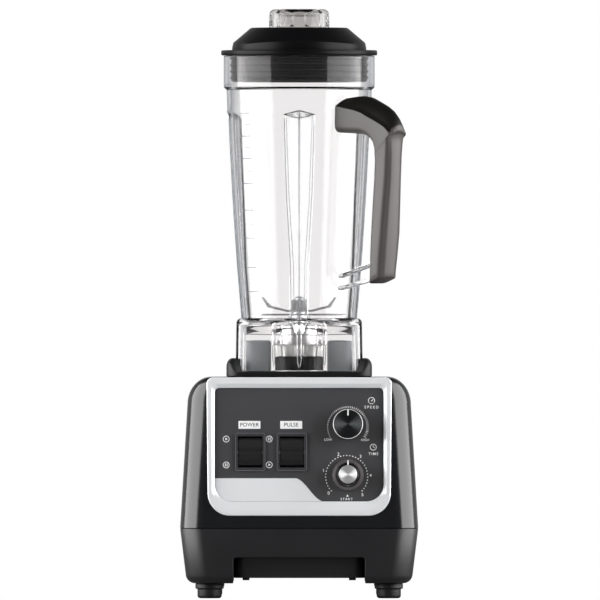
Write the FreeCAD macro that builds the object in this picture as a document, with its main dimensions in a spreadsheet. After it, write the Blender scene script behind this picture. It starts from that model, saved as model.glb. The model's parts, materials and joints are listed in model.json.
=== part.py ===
import FreeCAD, Part
import math
import os
import re

import Sketcher

# Countertop blender: a motor base on four feet, a clear square-footed jar with a handle,
# a blade unit, a soft lid and a clear filler cap.
# +Z is up, -Y is the front with the controls, and the drive axis is the Z axis.

SIZES = {
    # casing
    "casing_half_width": 103.0,     # at the seam between the two halves
    "casing_front": 110.0,          # drive axis to the front face, at the seam
    "casing_rear": 121.0,
    "casing_corner": 22.0,
    "casing_wall": 3.0,
    "side_lean": 3.4,               # degrees, each upper side leans in
    "leg_lean": 6.9,                # degrees, each lower side leans in
    "panel_tilt": 3.0,              # degrees, the front leans back
    "leg_z": 13.0,
    "seam_z": 60.7,
    "seam_gap": 0.3,
    "shoulder_z": 168.0,
    "shoulder_run": 20.0,
    "deck_z": 191.3,
    "arch_half_width": 57.0,
    "arch_z": 35.5,
    "post_radius": 6.0,
    # feet
    "foot_x": 77.5,
    "foot_front": 84.0,
    "foot_rear": 95.0,
    "foot_radius": 10.5,
    "foot_flange_radius": 12.3,
    "foot_flange_z": 8.2,
    "foot_screw_radius": 2.0,
    # bottom cover and cord gland
    "cover_z": 17.6,
    "cover_inset": 14.0,
    "cover_wall": 2.5,
    "gland_z": 46.0,
    "gland_radius": 8.0,
    "gland_bore": 3.6,
    "gland_reach": 6.0,
    # control panel, measured on the leaning front face
    "frame_half_width": 79.5,
    "frame_low": 71.4,
    "frame_high": 191.2,
    "frame_corner_top": 5.5,
    "frame_corner_low": 20.0,
    "frame_proud": 2.5,
    "window_half_width": 73.0,
    "window_low": 84.0,
    "window_high": 182.0,
    "window_corner_top": 4.0,
    "fascia_sunk": 1.0,
    "fascia_thick": 2.5,
    "inlay_thick": 0.4,
    # rocker switches
    "power_x": -42.3,
    "pulse_x": -6.3,
    "rocker_up": 126.7,
    "bezel_half_width": 13.0,
    "bezel_half_height": 16.4,
    "bezel_proud": 1.6,
    "rocker_half_width": 10.2,
    "rocker_half_height": 12.3,
    "rocker_gap": 0.5,
    "rocker_pivot_depth": 6.0,
    "rocker_pin_radius": 1.2,
    "switch_depth": 24.0,
    # knobs
    "knob_x": 42.15,
    "speed_up": 150.2,
    "timer_up": 106.7,
    "speed_knob_radius": 13.1,
    "timer_knob_radius": 13.8,
    "timer_cap_radius": 8.0,
    "knob_lift": 1.0,
    "knob_height": 15.0,
    "knob_shaft_radius": 3.0,
    "running_gap": 0.05,
    # jar pad
    "pad_half_width": 63.1,
    "pad_corner": 12.0,
    "pad_thick": 5.1,
    "ear_z": 16.2,                  # ear top above the deck
    "ear_reach": 27.0,
    "ear_thick": 7.0,
    "post_inner": 24.4,
    "post_outer": 45.7,
    "post_z": 31.5,                 # post top above the deck
    "collar_radius": 21.0,
    "collar_z": 18.1,               # collar top above the deck
    "collar_bore": 15.5,
    # jar, heights above its foot
    "skirt_half_width": 54.8,
    "skirt_corner": 12.0,
    "skirt_height": 45.9,
    "skirt_wall": 3.0,
    "jar_wall": 3.0,
    "jar_low_radius": 50.5,
    "jar_low": 48.6,
    "jar_mid_radius": 61.4,
    "jar_mid": 200.0,
    "jar_top_radius": 63.1,
    "jar_top": 244.0,
    "jar_rim_radius": 65.6,
    "jar_height": 273.6,
    "floor_under": 33.0,
    "floor_top": 39.6,
    "boss_under": 22.9,
    "boss_radius": 24.0,
    "baffle_half_top": 13.0,
    "baffle_half_low": 7.3,
    "baffle_deep_top": 7.8,
    "baffle_deep_low": 4.2,
    "baffle_top": 222.0,
    "baffle_low": 42.0,
    "spout_reach": 78.0,
    "spout_half_width": 24.0,
    "spout_drop": 24.0,
    "bracket_web": 2.5,
    "bracket_width": 8.0,
    "bracket_bar": 3.0,
    # handle, in the plane of its arm: distance from the drive axis and height above the jar's foot
    "handle_turn": -45.0,
    "grip_width": 23.0,
    "hood_width": 32.0,
    "handle_joint": 0.1,
    # blade unit
    "hub_radius": 14.0,
    "hub_flange_radius": 17.0,
    "hub_flange_thick": 2.5,
    "hub_neck_radius": 9.5,
    "hub_neck": 48.6,               # top of the hub above the jar's foot
    "gasket_thick": 1.0,
    "nut_radius_low": 19.5,
    "nut_radius_high": 21.0,
    "nut_drop": 9.9,
    "shaft_radius": 4.0,
    "ball_bearing_radius": 8.0,
    "ball_bearing_thick": 6.0,
    "spline_radius": 6.0,
    "spline_gap": 0.35,
    "blade_radius": 40.5,
    "blade_width": 13.0,
    "blade_thick": 1.6,
    "blade_tip_radius": 31.0,
    "blade_tip_rise": 13.0,
    "blade_clip": 6.0,              # how far a lower blade's corner is ground back
    "blade_point": 2.0,
    "blade_slant": 3.0,
    "lower_blade_turn": 10.0,
    "upper_blade_turn": 4.0,
    "wing_rise": 4.0,               # rise of an upper blade out to its bend
    "wing_flat": 10.0,
    "wing_bend": 6.0,
    "spacer_thick": 1.4,
    "cap_nut_radius": 8.5,
    "cap_nut_height": 12.0,
    # lid and filler cap
    "brim_radius": 67.8,
    "brim_thick": 4.4,
    "brim_gap": 0.4,
    "plug_radius": 59.0,
    "plug_depth": 23.0,
    "plug_rib": 2.4,
    "plug_rib_first": 2.5,
    "plug_rib_pitch": 5.4,
    "plug_rib_slope": 1.0,
    "plug_rib_flat": 1.2,
    "plug_lead_in": 1.5,
    "lid_edge": 1.0,
    "dome_wall": 6.2,
    "dome_skin": 6.0,
    "dome_lip": 3.0,
    "dome_foot_radius": 58.3,
    "dome_top_radius": 41.8,
    "dome_height": 24.0,            # dome top above the brim's underside
    "lid_wall": 5.0,
    "filler_radius": 21.0,
    "cap_radius": 26.2,
    "cap_height": 16.1,
    "cap_stem_radius": 20.6,
    "cap_stem_depth": 17.0,
    "cap_wall": 2.4,
    "cap_flute_radius": 2.2,
    "cap_flute_sink": 0.9,
    # motor, heights below the deck
    "mount_height": 10.0,
    "mount_radius": 8.0,
    "mount_reach": 34.0,
    "bracket_radius": 50.0,
    "bracket_thick": 6.0,
    "stator_half_width": 44.0,
    "stator_corner": 12.0,
    "stator_bore": 25.0,
    "stator_length": 46.0,
    "winding_length": 8.0,
    "winding_gap": 12.0,
    "armature_radius": 24.0,
    "commutator_radius": 13.0,
    "commutator_length": 16.0,
    "bolt_reach": 38.0,
    "bolt_radius": 2.5,
    "fan_radius": 38.0,
    "fan_height": 9.0,
    "shroud_gap": 3.0,
    "brush_size": 7.0,
    "socket_radius": 13.0,
    # electronics
    "board_half_width": 58.0,
    "board_thick": 1.6,
    "board_behind": 30.0,           # board behind the front face
    "sink_fins": 7,
    # rear vent
    "vent_half_width": 48.0,
    "vent_low": 92.0,
    "vent_high": 148.0,
    "vent_slats": 8,
}

# Names worked out from the sizes above.
WORKED = {
    "jar_z": "deck_z + pad_thick",
    "rim_z": "jar_z + jar_height",
    "brim_z": "rim_z + brim_gap",
    "dome_z": "brim_z + dome_height",
    "mount_z": "deck_z - casing_wall - mount_height",
    "stator_high": "mount_z - bracket_thick - winding_gap - winding_length",
    "stator_low": "stator_high - stator_length",
    "commutator_high": "stator_low - winding_length - 3",
    "commutator_low": "commutator_high - commutator_length",
    "lower_bracket_high": "commutator_low - 4",
    "lower_bracket_low": "lower_bracket_high - bracket_thick",
    "fan_high": "lower_bracket_low - 3",
    "fan_low": "fan_high - fan_height",
    "socket_low": "deck_z - casing_wall + 1",
    "socket_high": "deck_z + 15",
    "socket_floor": "deck_z + 5",
    "spline_low": "socket_floor + 1.5",
    "nut_z": "jar_z + boss_under - nut_drop",
    "flange_z": "jar_z + floor_top + gasket_thick",
    "blade_z": "jar_z + hub_neck - 0.4",
    "fascia_face": "0 - fascia_sunk",
    "fascia_back": "0 - fascia_sunk - fascia_thick",
    "cover_front": "0 - casing_front + cover_inset",
    "cover_rear": "casing_rear - cover_inset",
}

doc = FreeCAD.newDocument("countertop_blender")
sheet = doc.addObject("Spreadsheet::Sheet", "dims")
for row, (alias, size) in enumerate(SIZES.items(), 1):
    sheet.set(f"A{row}", alias)
    sheet.set(f"B{row}", str(size))
    sheet.setAlias(f"B{row}", alias)
doc.recompute()


def linked(text):
    """Write an expression in the sheet's cells, with the worked-out names spelt out."""
    def swap(match):
        word = match.group(0)
        if word in WORKED:
            return "(" + linked(WORKED[word]) + ")"
        return "dims." + word if word in SIZES else word
    return re.sub(r"[a-z_][a-z_0-9]*", swap, str(text))


def value(text):
    """The number that an expression comes to."""
    answer = sheet.evalExpression(linked(text))
    return float(getattr(answer, "Value", answer))


def place_constraint(sketch, kind, geometry, end, text):
    """Hold a point of a sketch at a bound distance from the sketch's origin."""
    index = sketch.addConstraint(
        Sketcher.Constraint(kind, -1, 1, geometry, end, value(text)))
    sketch.setExpression(f"Constraints[{index}]", linked(text))


def shape(points):
    """A closed outline of straight edges."""
    def draw(sketch):
        first = sketch.GeometryCount
        count = len(points)
        spots = [FreeCAD.Vector(value(x), value(y), 0) for x, y in points]
        edges = [Part.LineSegment(spots[i], spots[(i + 1) % count]) for i in range(count)]
        sketch.addGeometry(edges, False)
        for i in range(count):
            sketch.addConstraint(
                Sketcher.Constraint("Coincident", first + i, 2, first + (i + 1) % count, 1))
        for i, (x, y) in enumerate(points):
            place_constraint(sketch, "DistanceX", first + i, 1, x)
            place_constraint(sketch, "DistanceY", first + i, 1, y)
    return draw


def ring(x, y, radius):
    """A circle."""
    def draw(sketch):
        index = sketch.addGeometry(
            Part.Circle(FreeCAD.Vector(value(x), value(y), 0), FreeCAD.Vector(0, 0, 1),
                        value(radius)), False)
        place_constraint(sketch, "DistanceX", index, 3, x)
        place_constraint(sketch, "DistanceY", index, 3, y)
        size = sketch.addConstraint(Sketcher.Constraint("Radius", index, value(radius)))
        sketch.setExpression(f"Constraints[{size}]", linked(radius))
    return draw


def rounded(x0, x1, y0, y1, radius):
    """A rectangle with equal round corners."""
    def draw(sketch):
        first = sketch.GeometryCount
        left, right, low, high, r = (value(t) for t in (x0, x1, y0, y1, radius))
        point = FreeCAD.Vector
        edges = [
            Part.LineSegment(point(left + r, low, 0), point(right - r, low, 0)),
            Part.LineSegment(point(right, low + r, 0), point(right, high - r, 0)),
            Part.LineSegment(point(right - r, high, 0), point(left + r, high, 0)),
            Part.LineSegment(point(left, high - r, 0), point(left, low + r, 0)),
        ]
        corners = [(right - r, low + r, 270), (right - r, high - r, 0),
                   (left + r, high - r, 90), (left + r, low + r, 180)]
        for x, y, start in corners:
            circle = Part.Circle(point(x, y, 0), point(0, 0, 1), r)
            edges.append(Part.ArcOfCircle(circle, math.radians(start), math.radians(start + 90)))
        sketch.addGeometry(edges, False)
        add = sketch.addConstraint
        for i in range(4):
            add(Sketcher.Constraint("Tangent", first + i, 2, first + 4 + i, 1))
            add(Sketcher.Constraint("Tangent", first + 4 + i, 2, first + (i + 1) % 4, 1))
        for i, kind in enumerate(("Horizontal", "Vertical", "Horizontal", "Vertical")):
            add(Sketcher.Constraint(kind, first + i))
        for i in range(1, 4):
            add(Sketcher.Constraint("Equal", first + 4, first + 4 + i))
        size = add(Sketcher.Constraint("Radius", first + 4, r))
        sketch.setExpression(f"Constraints[{size}]", linked(radius))
        place_constraint(sketch, "DistanceY", first, 1, y0)
        place_constraint(sketch, "DistanceX", first + 1, 1, x1)
        place_constraint(sketch, "DistanceY", first + 2, 1, y1)
        place_constraint(sketch, "DistanceX", first + 3, 1, x0)
    return draw


def block(x0, x1, y0, y1):
    """A sharp-cornered rectangle."""
    return shape([(x0, y0), (x1, y0), (x1, y1), (x0, y1)])


pieces = []


class Piece:
    """One sub-part: a PartDesign body whose features are bound to the sheet."""

    def __init__(self, label):
        self.body = doc.addObject("PartDesign::Body", label)
        self.body.Label = label
        pieces.append(self)

    def datum(self, role):
        return next(item for item in self.body.Origin.OriginFeatures if item.Role == role)

    def sketch(self, wires, role="XY_Plane", lift="0", shift="0", spin="0"):
        """A sketch on a plane of the body, lifted along its normal and spun about +Z."""
        sketch = self.body.newObject("Sketcher::SketchObject", self.body.Label + "_outline")
        sketch.AttachmentSupport = (self.datum(role), [""])
        sketch.MapMode = "FlatFace"
        sketch.setExpression(".AttachmentOffset.Base.x", linked(shift))
        sketch.setExpression(".AttachmentOffset.Base.z", linked(lift))
        if spin != "0":
            axis = (0, 0, 1) if role == "XY_Plane" else (0, 1, 0)
            sketch.AttachmentOffset = FreeCAD.Placement(
                FreeCAD.Vector(0, 0, 0), FreeCAD.Rotation(FreeCAD.Vector(*axis), value(spin)))
            sketch.setExpression(".AttachmentOffset.Rotation.Angle", linked(spin))
        for draw in wires:
            draw(sketch)
        doc.recompute()
        return sketch

    def volume(self):
        solid = self.body.Shape
        return 0.0 if solid.isNull() else solid.Volume

    def feature(self, kind, sketch=None, **values):
        """Add one feature, rebuild, and check that it grew or cut the piece as it should."""
        before = self.volume()
        made = self.body.newObject("PartDesign::" + kind, self.body.Label + "_" + kind.lower())
        if sketch is not None:
            made.Profile = sketch
        for name, setting in values.items():
            setattr(made, name, setting)
        return made, before

    def settle(self, made, before, grows):
        self.body.Tip = made
        doc.recompute()
        change = self.volume() - before
        if (change < 1e-6) if grows else (change > -1e-6):
            raise ValueError(f"{self.body.Label}: {made.Name} changed the volume by {change:.4f}")
        self.last = made
        return self

    def pad(self, low, high, *wires, **where):
        """Material between two heights."""
        made, before = self.feature("Pad", self.sketch(wires, lift=low, **where))
        made.setExpression("Length", linked(f"({high}) - ({low})"))
        return self.settle(made, before, True)

    def pocket(self, low, high, *wires, **where):
        """A cut between two heights."""
        made, before = self.feature("Pocket", self.sketch(wires, lift=low, **where), Reversed=True)
        made.setExpression("Length", linked(f"({high}) - ({low})"))
        return self.settle(made, before, False)

    def slab(self, width, *wires, centre="0", spin="0", role="XZ_Plane"):
        """Material of an even width either side of an upright plane."""
        sketch = self.sketch(wires, role=role, lift=centre, spin=spin)
        made, before = self.feature("Pad", sketch, SideType="Symmetric")
        made.setExpression("Length", linked(width))
        return self.settle(made, before, True)

    def slot(self, width, *wires, centre="0", spin="0", role="XZ_Plane"):
        """A cut of an even width either side of an upright plane."""
        sketch = self.sketch(wires, role=role, lift=centre, spin=spin)
        made, before = self.feature("Pocket", sketch, SideType="Symmetric")
        made.setExpression("Length", linked(width))
        return self.settle(made, before, False)

    def turn(self, points, x="0", y="0"):
        """Material turned about an upright axis."""
        sketch = self.sketch([shape(points)], role="XZ_Plane", shift=x, lift=f"0 - ({y})")
        made, before = self.feature("Revolution", sketch, Angle=360)
        made.ReferenceAxis = (sketch, ["V_Axis"])
        return self.settle(made, before, True)

    def bore(self, points, x="0", y="0"):
        """A turned cut about an upright axis."""
        sketch = self.sketch([shape(points)], role="XZ_Plane", shift=x, lift=f"0 - ({y})")
        made, before = self.feature("Groove", sketch, Angle=360)
        made.ReferenceAxis = (sketch, ["V_Axis"])
        return self.settle(made, before, False)

    def loft(self, sections, grows=True, spin="0"):
        """A straight-sided loft through outlines at rising heights."""
        outlines = [self.sketch([wire], lift=level, spin=spin) for level, wire in sections]
        kind = "AdditiveLoft" if grows else "SubtractiveLoft"
        made, before = self.feature(kind, outlines[0], Sections=outlines[1:], Ruled=True)
        return self.settle(made, before, grows)

    def around(self, count):
        """Repeat the last feature evenly about the upright axis."""
        grows = "Pocket" not in self.last.TypeId and "Subtractive" not in self.last.TypeId
        grows = grows and "Groove" not in self.last.TypeId
        made, before = self.feature("PolarPattern", Originals=[self.last])
        made.Axis = (self.datum("Z_Axis"), [""])
        made.Angle = 360
        made.Occurrences = int(count)
        return self.settle(made, before, grows)

    def soften(self, radius, chosen, kind="Fillet"):
        """Round the edges that a test picks out."""
        base = self.body.Tip
        names = [f"Edge{i}" for i, edge in enumerate(base.Shape.Edges, 1) if chosen(edge)]
        if not names:
            raise ValueError(f"{self.body.Label}: no edge to round")
        made = self.body.newObject("PartDesign::" + kind, self.body.Label + "_round")
        made.Base = (base, names)
        made.setExpression("Radius", linked(radius))
        self.body.Tip = made
        doc.recompute()
        if not made.isValid():
            raise ValueError(f"{self.body.Label}: the rounding failed")
        return self

    def stand(self, x="0", y="0", z="0", turn=None, axis=(0, 0, 1)):
        """Put the piece in its place."""
        if turn is not None:
            self.body.Placement = FreeCAD.Placement(
                FreeCAD.Vector(0, 0, 0), FreeCAD.Rotation(FreeCAD.Vector(*axis), value(turn)))
            self.body.setExpression(".Placement.Rotation.Angle", linked(turn))
        for name, text in (("x", x), ("y", y), ("z", z)):
            self.body.setExpression(".Placement.Base." + name, linked(text))
        doc.recompute()
        return self

    def on_panel(self, x="0", up="0"):
        """Stand the piece on the leaning front face, its own +Z pointing out of it."""
        rise = f"({up} - seam_z) / cos(panel_tilt)"
        return self.stand(
            x=x, y=f"0 - casing_front + {rise} * sin(panel_tilt)",
            z=f"seam_z + {rise} * cos(panel_tilt)", turn="90 - panel_tilt", axis=(1, 0, 0))


def upright_at(x, y, slack=0.6):
    """Test for an edge that runs along the piece's own Z at a corner."""
    def chosen(edge):
        a, b = edge.Vertexes[0].Point, edge.Vertexes[-1].Point
        along = abs(a.x - b.x) < slack and abs(a.y - b.y) < slack and abs(a.z - b.z) > 0.1
        middle = (a + b) * 0.5
        return along and abs(middle.x - value(x)) < slack and abs(middle.y - value(y)) < slack
    return chosen


# ---------------------------------------------------------------- casing

def casing_wire(level, inset, lean, narrower="0", corner_loss="0", side_level=None):
    """The casing's outline at a height, drawn in by an inset."""
    rise = f"(({side_level or level}) - seam_z)"
    side = f"{rise} * tan(side_lean)" if lean == "up" else f"(0 - {rise}) * tan(leg_lean)"
    front = f"(({level}) - seam_z) * tan(panel_tilt)"
    if lean != "up":
        front = f"(0 - {rise}) * tan(panel_tilt)"
    half = f"casing_half_width - {side} - ({narrower}) - ({inset})"
    rear = f"casing_rear - {side} - ({narrower}) - ({inset})"
    return rounded(f"0 - ({half})", half, f"0 - casing_front + {front} + ({inset})", rear,
                   f"casing_corner - ({inset}) - ({corner_loss})")


def upper_sections(inset, low):
    """Straight sides, then a quarter-ellipse shoulder up to the deck."""
    sections = [(low, casing_wire(low, inset, "up")),
                ("shoulder_z", casing_wire("shoulder_z", inset, "up"))]
    steps = 4
    for i in range(1, steps + 1):
        angle = 90 * i / steps
        level = f"shoulder_z + (deck_z - shoulder_z - ({inset})) * sin({angle})"
        narrower = f"shoulder_run * (1 - cos({angle}))"
        sections.append((level, casing_wire(level, inset, "up", narrower, f"0.6 * {narrower}",
                                            "shoulder_z")))
    return sections


CORNERS = [("0 - foot_x", "0 - foot_front"), ("foot_x", "0 - foot_front"),
           ("foot_x", "foot_rear"), ("0 - foot_x", "foot_rear")]

upper = Piece("upper_housing")
upper.loft(upper_sections("0", "seam_z + seam_gap"))
upper.loft(upper_sections("casing_wall", "seam_z + seam_gap"), grows=False)
upper.pocket("deck_z - casing_wall - 1", "deck_z + 1", ring("0", "0", "collar_bore"))
upper.slot("30", block("0 - window_half_width", "window_half_width", "window_low", "window_high"),
           centre="casing_front")
upper.slot("40", block("0 - vent_half_width", "vent_half_width", "vent_low", "vent_high"),
           centre="0 - casing_rear")
for x, y in CORNERS:
    upper.pad("seam_z + seam_gap", "shoulder_z - 30", ring(x, y, "post_radius"))
    upper.pocket("seam_z + seam_gap", "seam_z + 16", ring(x, y, "foot_screw_radius"))
upper.stand()

lower = Piece("lower_housing")
lower.loft([("leg_z", casing_wire("leg_z", "0", "down")),
            ("seam_z", casing_wire("seam_z", "0", "down"))])
lower.loft([("arch_z + casing_wall", casing_wire("arch_z", "casing_wall", "down")),
            ("seam_z", casing_wire("seam_z", "casing_wall", "down"))], grows=False)
lower.pocket("leg_z - 1", "arch_z",
             block("0 - arch_half_width", "arch_half_width", "0 - 200", "200"))
lower.pocket("leg_z - 1", "arch_z",
             block("0 - 200", "200", "0 - foot_front + 18", "foot_rear - 18"))
lower.pocket("arch_z - 1", "seam_z",
             block("0 - arch_half_width + 8", "arch_half_width - 8",
                   "cover_front + 8", "cover_rear - 8"))
for x, y in CORNERS:
    lower.pocket("leg_z + casing_wall", "arch_z + casing_wall", ring(x, y, "post_radius + 6"))
    lower.pad("leg_z + casing_wall", "seam_z", ring(x, y, "post_radius"))
    lower.pocket("leg_z - 1", "seam_z + 1", ring(x, y, "foot_screw_radius"))
lower.slot("20", ring("0", "gland_z", "gland_radius"), centre="0 - casing_rear")
lower.stand()

cover = Piece("bottom_cover")
cover.pad("cover_z", "arch_z", rounded("0 - arch_half_width + 0.5", "arch_half_width - 0.5",
                                       "cover_front", "cover_rear", "10"))
cover.pocket("cover_z + cover_wall", "arch_z",
             rounded("0 - arch_half_width + 0.5 + cover_wall",
                     "arch_half_width - 0.5 - cover_wall",
                     "cover_front + cover_wall", "cover_rear - cover_wall", "7.5"))
louvres = [block("0 - 34", "34", f"{14 * i} - 2", f"{14 * i} + 2") for i in range(-4, 5)]
cover.pocket("cover_z", "cover_z + cover_wall", *louvres)
for x in ("0 - 46", "46"):
    for y in ("0 - 86", "97"):
        cover.pad("cover_z", "arch_z", ring(x, y, "4.5"))
        cover.pocket("cover_z - 1", "arch_z", ring(x, y, "1.6"))
cover.stand()

cover_screws = Piece("cover_screws")
for x in ("0 - 46", "46"):
    for y in ("0 - 86", "97"):
        cover_screws.turn([("0", "cover_z - 2"), ("3", "cover_z - 2"), ("3", "cover_z"),
                           ("1.5", "cover_z"), ("1.5", "arch_z - 1"), ("0", "arch_z - 1")], x, y)
cover_screws.stand()

feet = Piece("feet")
for x, y in CORNERS:
    feet.turn([("foot_screw_radius + 2.5", "0"), ("foot_radius - 1.5", "0"),
               ("foot_radius", "1.5"), ("foot_radius", "foot_flange_z"),
               ("foot_flange_radius", "foot_flange_z"), ("foot_flange_radius", "leg_z"),
               ("foot_screw_radius", "leg_z"), ("foot_screw_radius", "6"),
               ("foot_screw_radius + 2.5", "6")], x, y)
feet.stand()

foot_screws = Piece("foot_screws")
for x, y in CORNERS:
    foot_screws.turn([("0", "3.5"), ("4", "3.5"), ("4", "6"), ("foot_screw_radius", "6"),
                      ("foot_screw_radius", "seam_z + 14"), ("0", "seam_z + 14")], x, y)
foot_screws.stand()

gland = Piece("cord_gland")
gland.turn([("gland_bore", "0 - 5"), ("gland_radius - 0.1", "0 - 5"), ("gland_radius - 0.1", "1.4"),
            ("gland_radius + 2", "1.4"), ("gland_radius + 2", "3"),
            ("gland_radius - 1", "gland_reach"), ("gland_bore", "gland_reach")])
gland.stand(y="casing_rear - (seam_z - gland_z) * tan(leg_lean)", z="gland_z",
            turn="0 - 90", axis=(1, 0, 0))

vent = Piece("rear_vent")
vent.pad("0 - 4", "1", block("0 - vent_half_width + 0.3", "vent_half_width - 0.3",
                             "vent_low + 0.3", "vent_high - 0.3"))
slat_gap = f"(vent_high - vent_low - 8) / {SIZES['vent_slats']}"
vent.pocket("0 - 5", "2", *[block("0 - vent_half_width + 5", "vent_half_width - 5",
                                  f"vent_low + 4 + {slat_gap} * {i} + 1.6",
                                  f"vent_low + 4 + {slat_gap} * {i + 1} - 1.6")
                            for i in range(SIZES["vent_slats"])])
vent.stand(y="casing_rear - (vent_high - seam_z) * tan(side_lean)", turn="90", axis=(1, 0, 0))

# ---------------------------------------------------------------- control panel

def panel_up(text):
    return f"(({text}) - frame_low) / cos(panel_tilt)"


frame = Piece("front_frame")
frame.pad("0", "frame_proud", block("0 - frame_half_width", "frame_half_width", "0",
                                    panel_up("frame_high")))
for corner_x in ("0 - frame_half_width", "frame_half_width"):
    frame.soften("frame_corner_low", upright_at(corner_x, "0"))
    frame.soften("frame_corner_top", upright_at(corner_x, panel_up("frame_high")))
frame.pocket("0", "frame_proud + 1", rounded(
    "0 - window_half_width", "window_half_width", panel_up("window_low"),
    panel_up("window_high"), "window_corner_top"))
frame.on_panel(up="frame_low")

fascia = Piece("control_fascia")
fascia.pad("fascia_back", "fascia_face", rounded(
    "0 - window_half_width + 0.3", "window_half_width - 0.3", panel_up("window_low + 0.5"),
    panel_up("window_high - 0.5"), "window_corner_top"))
for x in ("power_x", "pulse_x"):
    fascia.pocket("fascia_back", "fascia_face + 1", block(
        f"{x} - rocker_half_width - 2", f"{x} + rocker_half_width + 2",
        panel_up("rocker_up") + " - rocker_half_height - 2.6",
        panel_up("rocker_up") + " + rocker_half_height + 2.6"))
for up in ("speed_up", "timer_up"):
    fascia.pocket("fascia_back", "fascia_face + 1",
                  ring("knob_x", panel_up(up), "knob_shaft_radius + 1"))
fascia.on_panel(up="frame_low")

inlay = Piece("fascia_inlay")
inlay.pad("fascia_face", "fascia_face + inlay_thick", shape(
    [(x, panel_up(up)) for x, up in (
        ("0 - window_half_width + 0.6", "104"), ("0 - 2.8", "104"), ("3", "101.4"),
        ("7.3", "95.6"), ("13.1", "88.5"), ("19", "85"), ("0 - window_half_width + 0.6", "85"))]))
inlay.on_panel(up="frame_low")

pins = Piece("rocker_pins")
for name, x in (("power", "power_x"), ("pulse", "pulse_x")):
    switch = Piece(name + "_switch")
    switch.pad("fascia_face - switch_depth", "fascia_face", block(
        "0 - rocker_half_width - 1.9", "rocker_half_width + 1.9",
        "0 - rocker_half_height - 2.5", "rocker_half_height + 2.5"))
    switch.pad("fascia_face", "fascia_face + bezel_proud", rounded(
        "0 - bezel_half_width", "bezel_half_width", "0 - bezel_half_height",
        "bezel_half_height", "2"))
    switch.pocket("fascia_face - 16", "fascia_face + bezel_proud", block(
        "0 - rocker_half_width - rocker_gap", "rocker_half_width + rocker_gap",
        "0 - rocker_half_height - 1.1", "rocker_half_height + 1.1"))
    switch.on_panel(x, "rocker_up")

    rocker = Piece(name + "_rocker")
    rocker.slab("2 * rocker_half_width", shape([
        ("0 - 4", "0 - 6"), ("4", "0 - 6"), ("rocker_half_height - 1.0", "1"),
        ("rocker_half_height - 0.6", "7"), ("rocker_half_height - 2.4", "8.6"),
        ("0", "6.4"), ("2.4 - rocker_half_height", "8.6"), ("0.6 - rocker_half_height", "7"),
        ("1.0 - rocker_half_height", "1")]), role="YZ_Plane")
    rocker.slot("2 * rocker_half_width + 2",
                ring("0", "0", "rocker_pin_radius + running_gap"), role="YZ_Plane")
    rocker.on_panel(x, "rocker_up")
    rocker.body.setExpression(".Placement.Base.y", linked(
        "0 - casing_front + (rocker_up - seam_z) * tan(panel_tilt)"
        " + (fascia_sunk + rocker_pivot_depth) * cos(panel_tilt)"))
    rocker.body.setExpression(".Placement.Base.z", linked(
        "rocker_up - (fascia_sunk + rocker_pivot_depth) * sin(panel_tilt)"))

    pins.slab("2 * rocker_half_width + 2 * rocker_gap", ring(
        panel_up("rocker_up"), "fascia_face - rocker_pivot_depth", "rocker_pin_radius"),
        role="YZ_Plane", centre=x)
pins.on_panel(up="frame_low")

KNOBS = (("speed", "speed_up", "speed_knob_radius"), ("timer", "timer_up", "timer_knob_radius"))
for name, up, radius in KNOBS:
    control = Piece(name + ("_potentiometer" if name == "speed" else "_unit"))
    control.turn([("knob_shaft_radius + running_gap", "fascia_back - 12"), ("11", "fascia_back - 12"),
                  ("11", "fascia_back"), ("knob_shaft_radius + 0.9", "fascia_back"),
                  ("knob_shaft_radius + 0.9", "fascia_face"),
                  ("knob_shaft_radius + running_gap", "fascia_face")])
    control.on_panel("knob_x", up)

    shaft = Piece(name + "_knob_shaft")
    shaft.turn([("0", "fascia_back - 11"), ("knob_shaft_radius", "fascia_back - 11"),
                ("knob_shaft_radius", "fascia_face + knob_lift + knob_height - 4"),
                ("0", "fascia_face + knob_lift + knob_height - 4")])
    shaft.on_panel("knob_x", up)

    knob = Piece(name + "_knob")
    top = "fascia_face + knob_lift + knob_height"
    if name == "speed":
        knob.turn([("knob_shaft_radius", "fascia_face + knob_lift"),
                   (radius, "fascia_face + knob_lift"),
                   (f"{radius} - 0.6", top + " - 0.8"), (f"{radius} - 1.4", top),
                   (f"{radius} - 2.2", top), (f"{radius} - 2.2", top + " - 0.6"),
                   ("0", top + " - 0.6"), ("0", top + " - 4"), ("knob_shaft_radius", top + " - 4")])
        face_radius = f"{radius} - 2.2"
        face_low = top + " - 0.6"
    else:
        knob.turn([("knob_shaft_radius", "fascia_face + knob_lift"),
                   (radius, "fascia_face + knob_lift"),
                   (f"{radius} - 0.8", top + " - 7"), ("timer_cap_radius + 2", top + " - 6"),
                   ("timer_cap_radius + 1.2", top), ("timer_cap_radius", top),
                   ("timer_cap_radius", top + " - 0.6"), ("0", top + " - 0.6"),
                   ("0", top + " - 4"), ("knob_shaft_radius", top + " - 4")])
        face_radius = "timer_cap_radius"
        face_low = top + " - 0.6"
    knob.on_panel("knob_x", up)

    disc = Piece(name + "_knob_disc")
    disc.turn([("0", face_low), (face_radius, face_low), (face_radius, top), ("0", top)])
    disc.on_panel("knob_x", up)

board = Piece("control_board")
board.slab("board_thick", block("0 - board_half_width", "board_half_width", "96", "168"),
           centre="casing_front - board_behind")
board.slab("9", block("0 - 50", "0 - 36", "110", "136"), block("0 - 24", "0 - 6", "148", "162"),
           block("30", "52", "140", "160"), centre="casing_front - board_behind - 5")
board.stand()

sink = Piece("heat_sink")
sink.slab("2", block("2", "26", "104", "138"), centre="casing_front - board_behind - 1.8")
sink.slab("10", *[block(f"2 + {i} * 22.4 / (sink_fins - 1)", f"3.6 + {i} * 22.4 / (sink_fins - 1)",
                        "104", "138") for i in range(SIZES["sink_fins"])],
          centre="casing_front - board_behind - 7.8")
sink.stand()

# ---------------------------------------------------------------- jar pad

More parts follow.
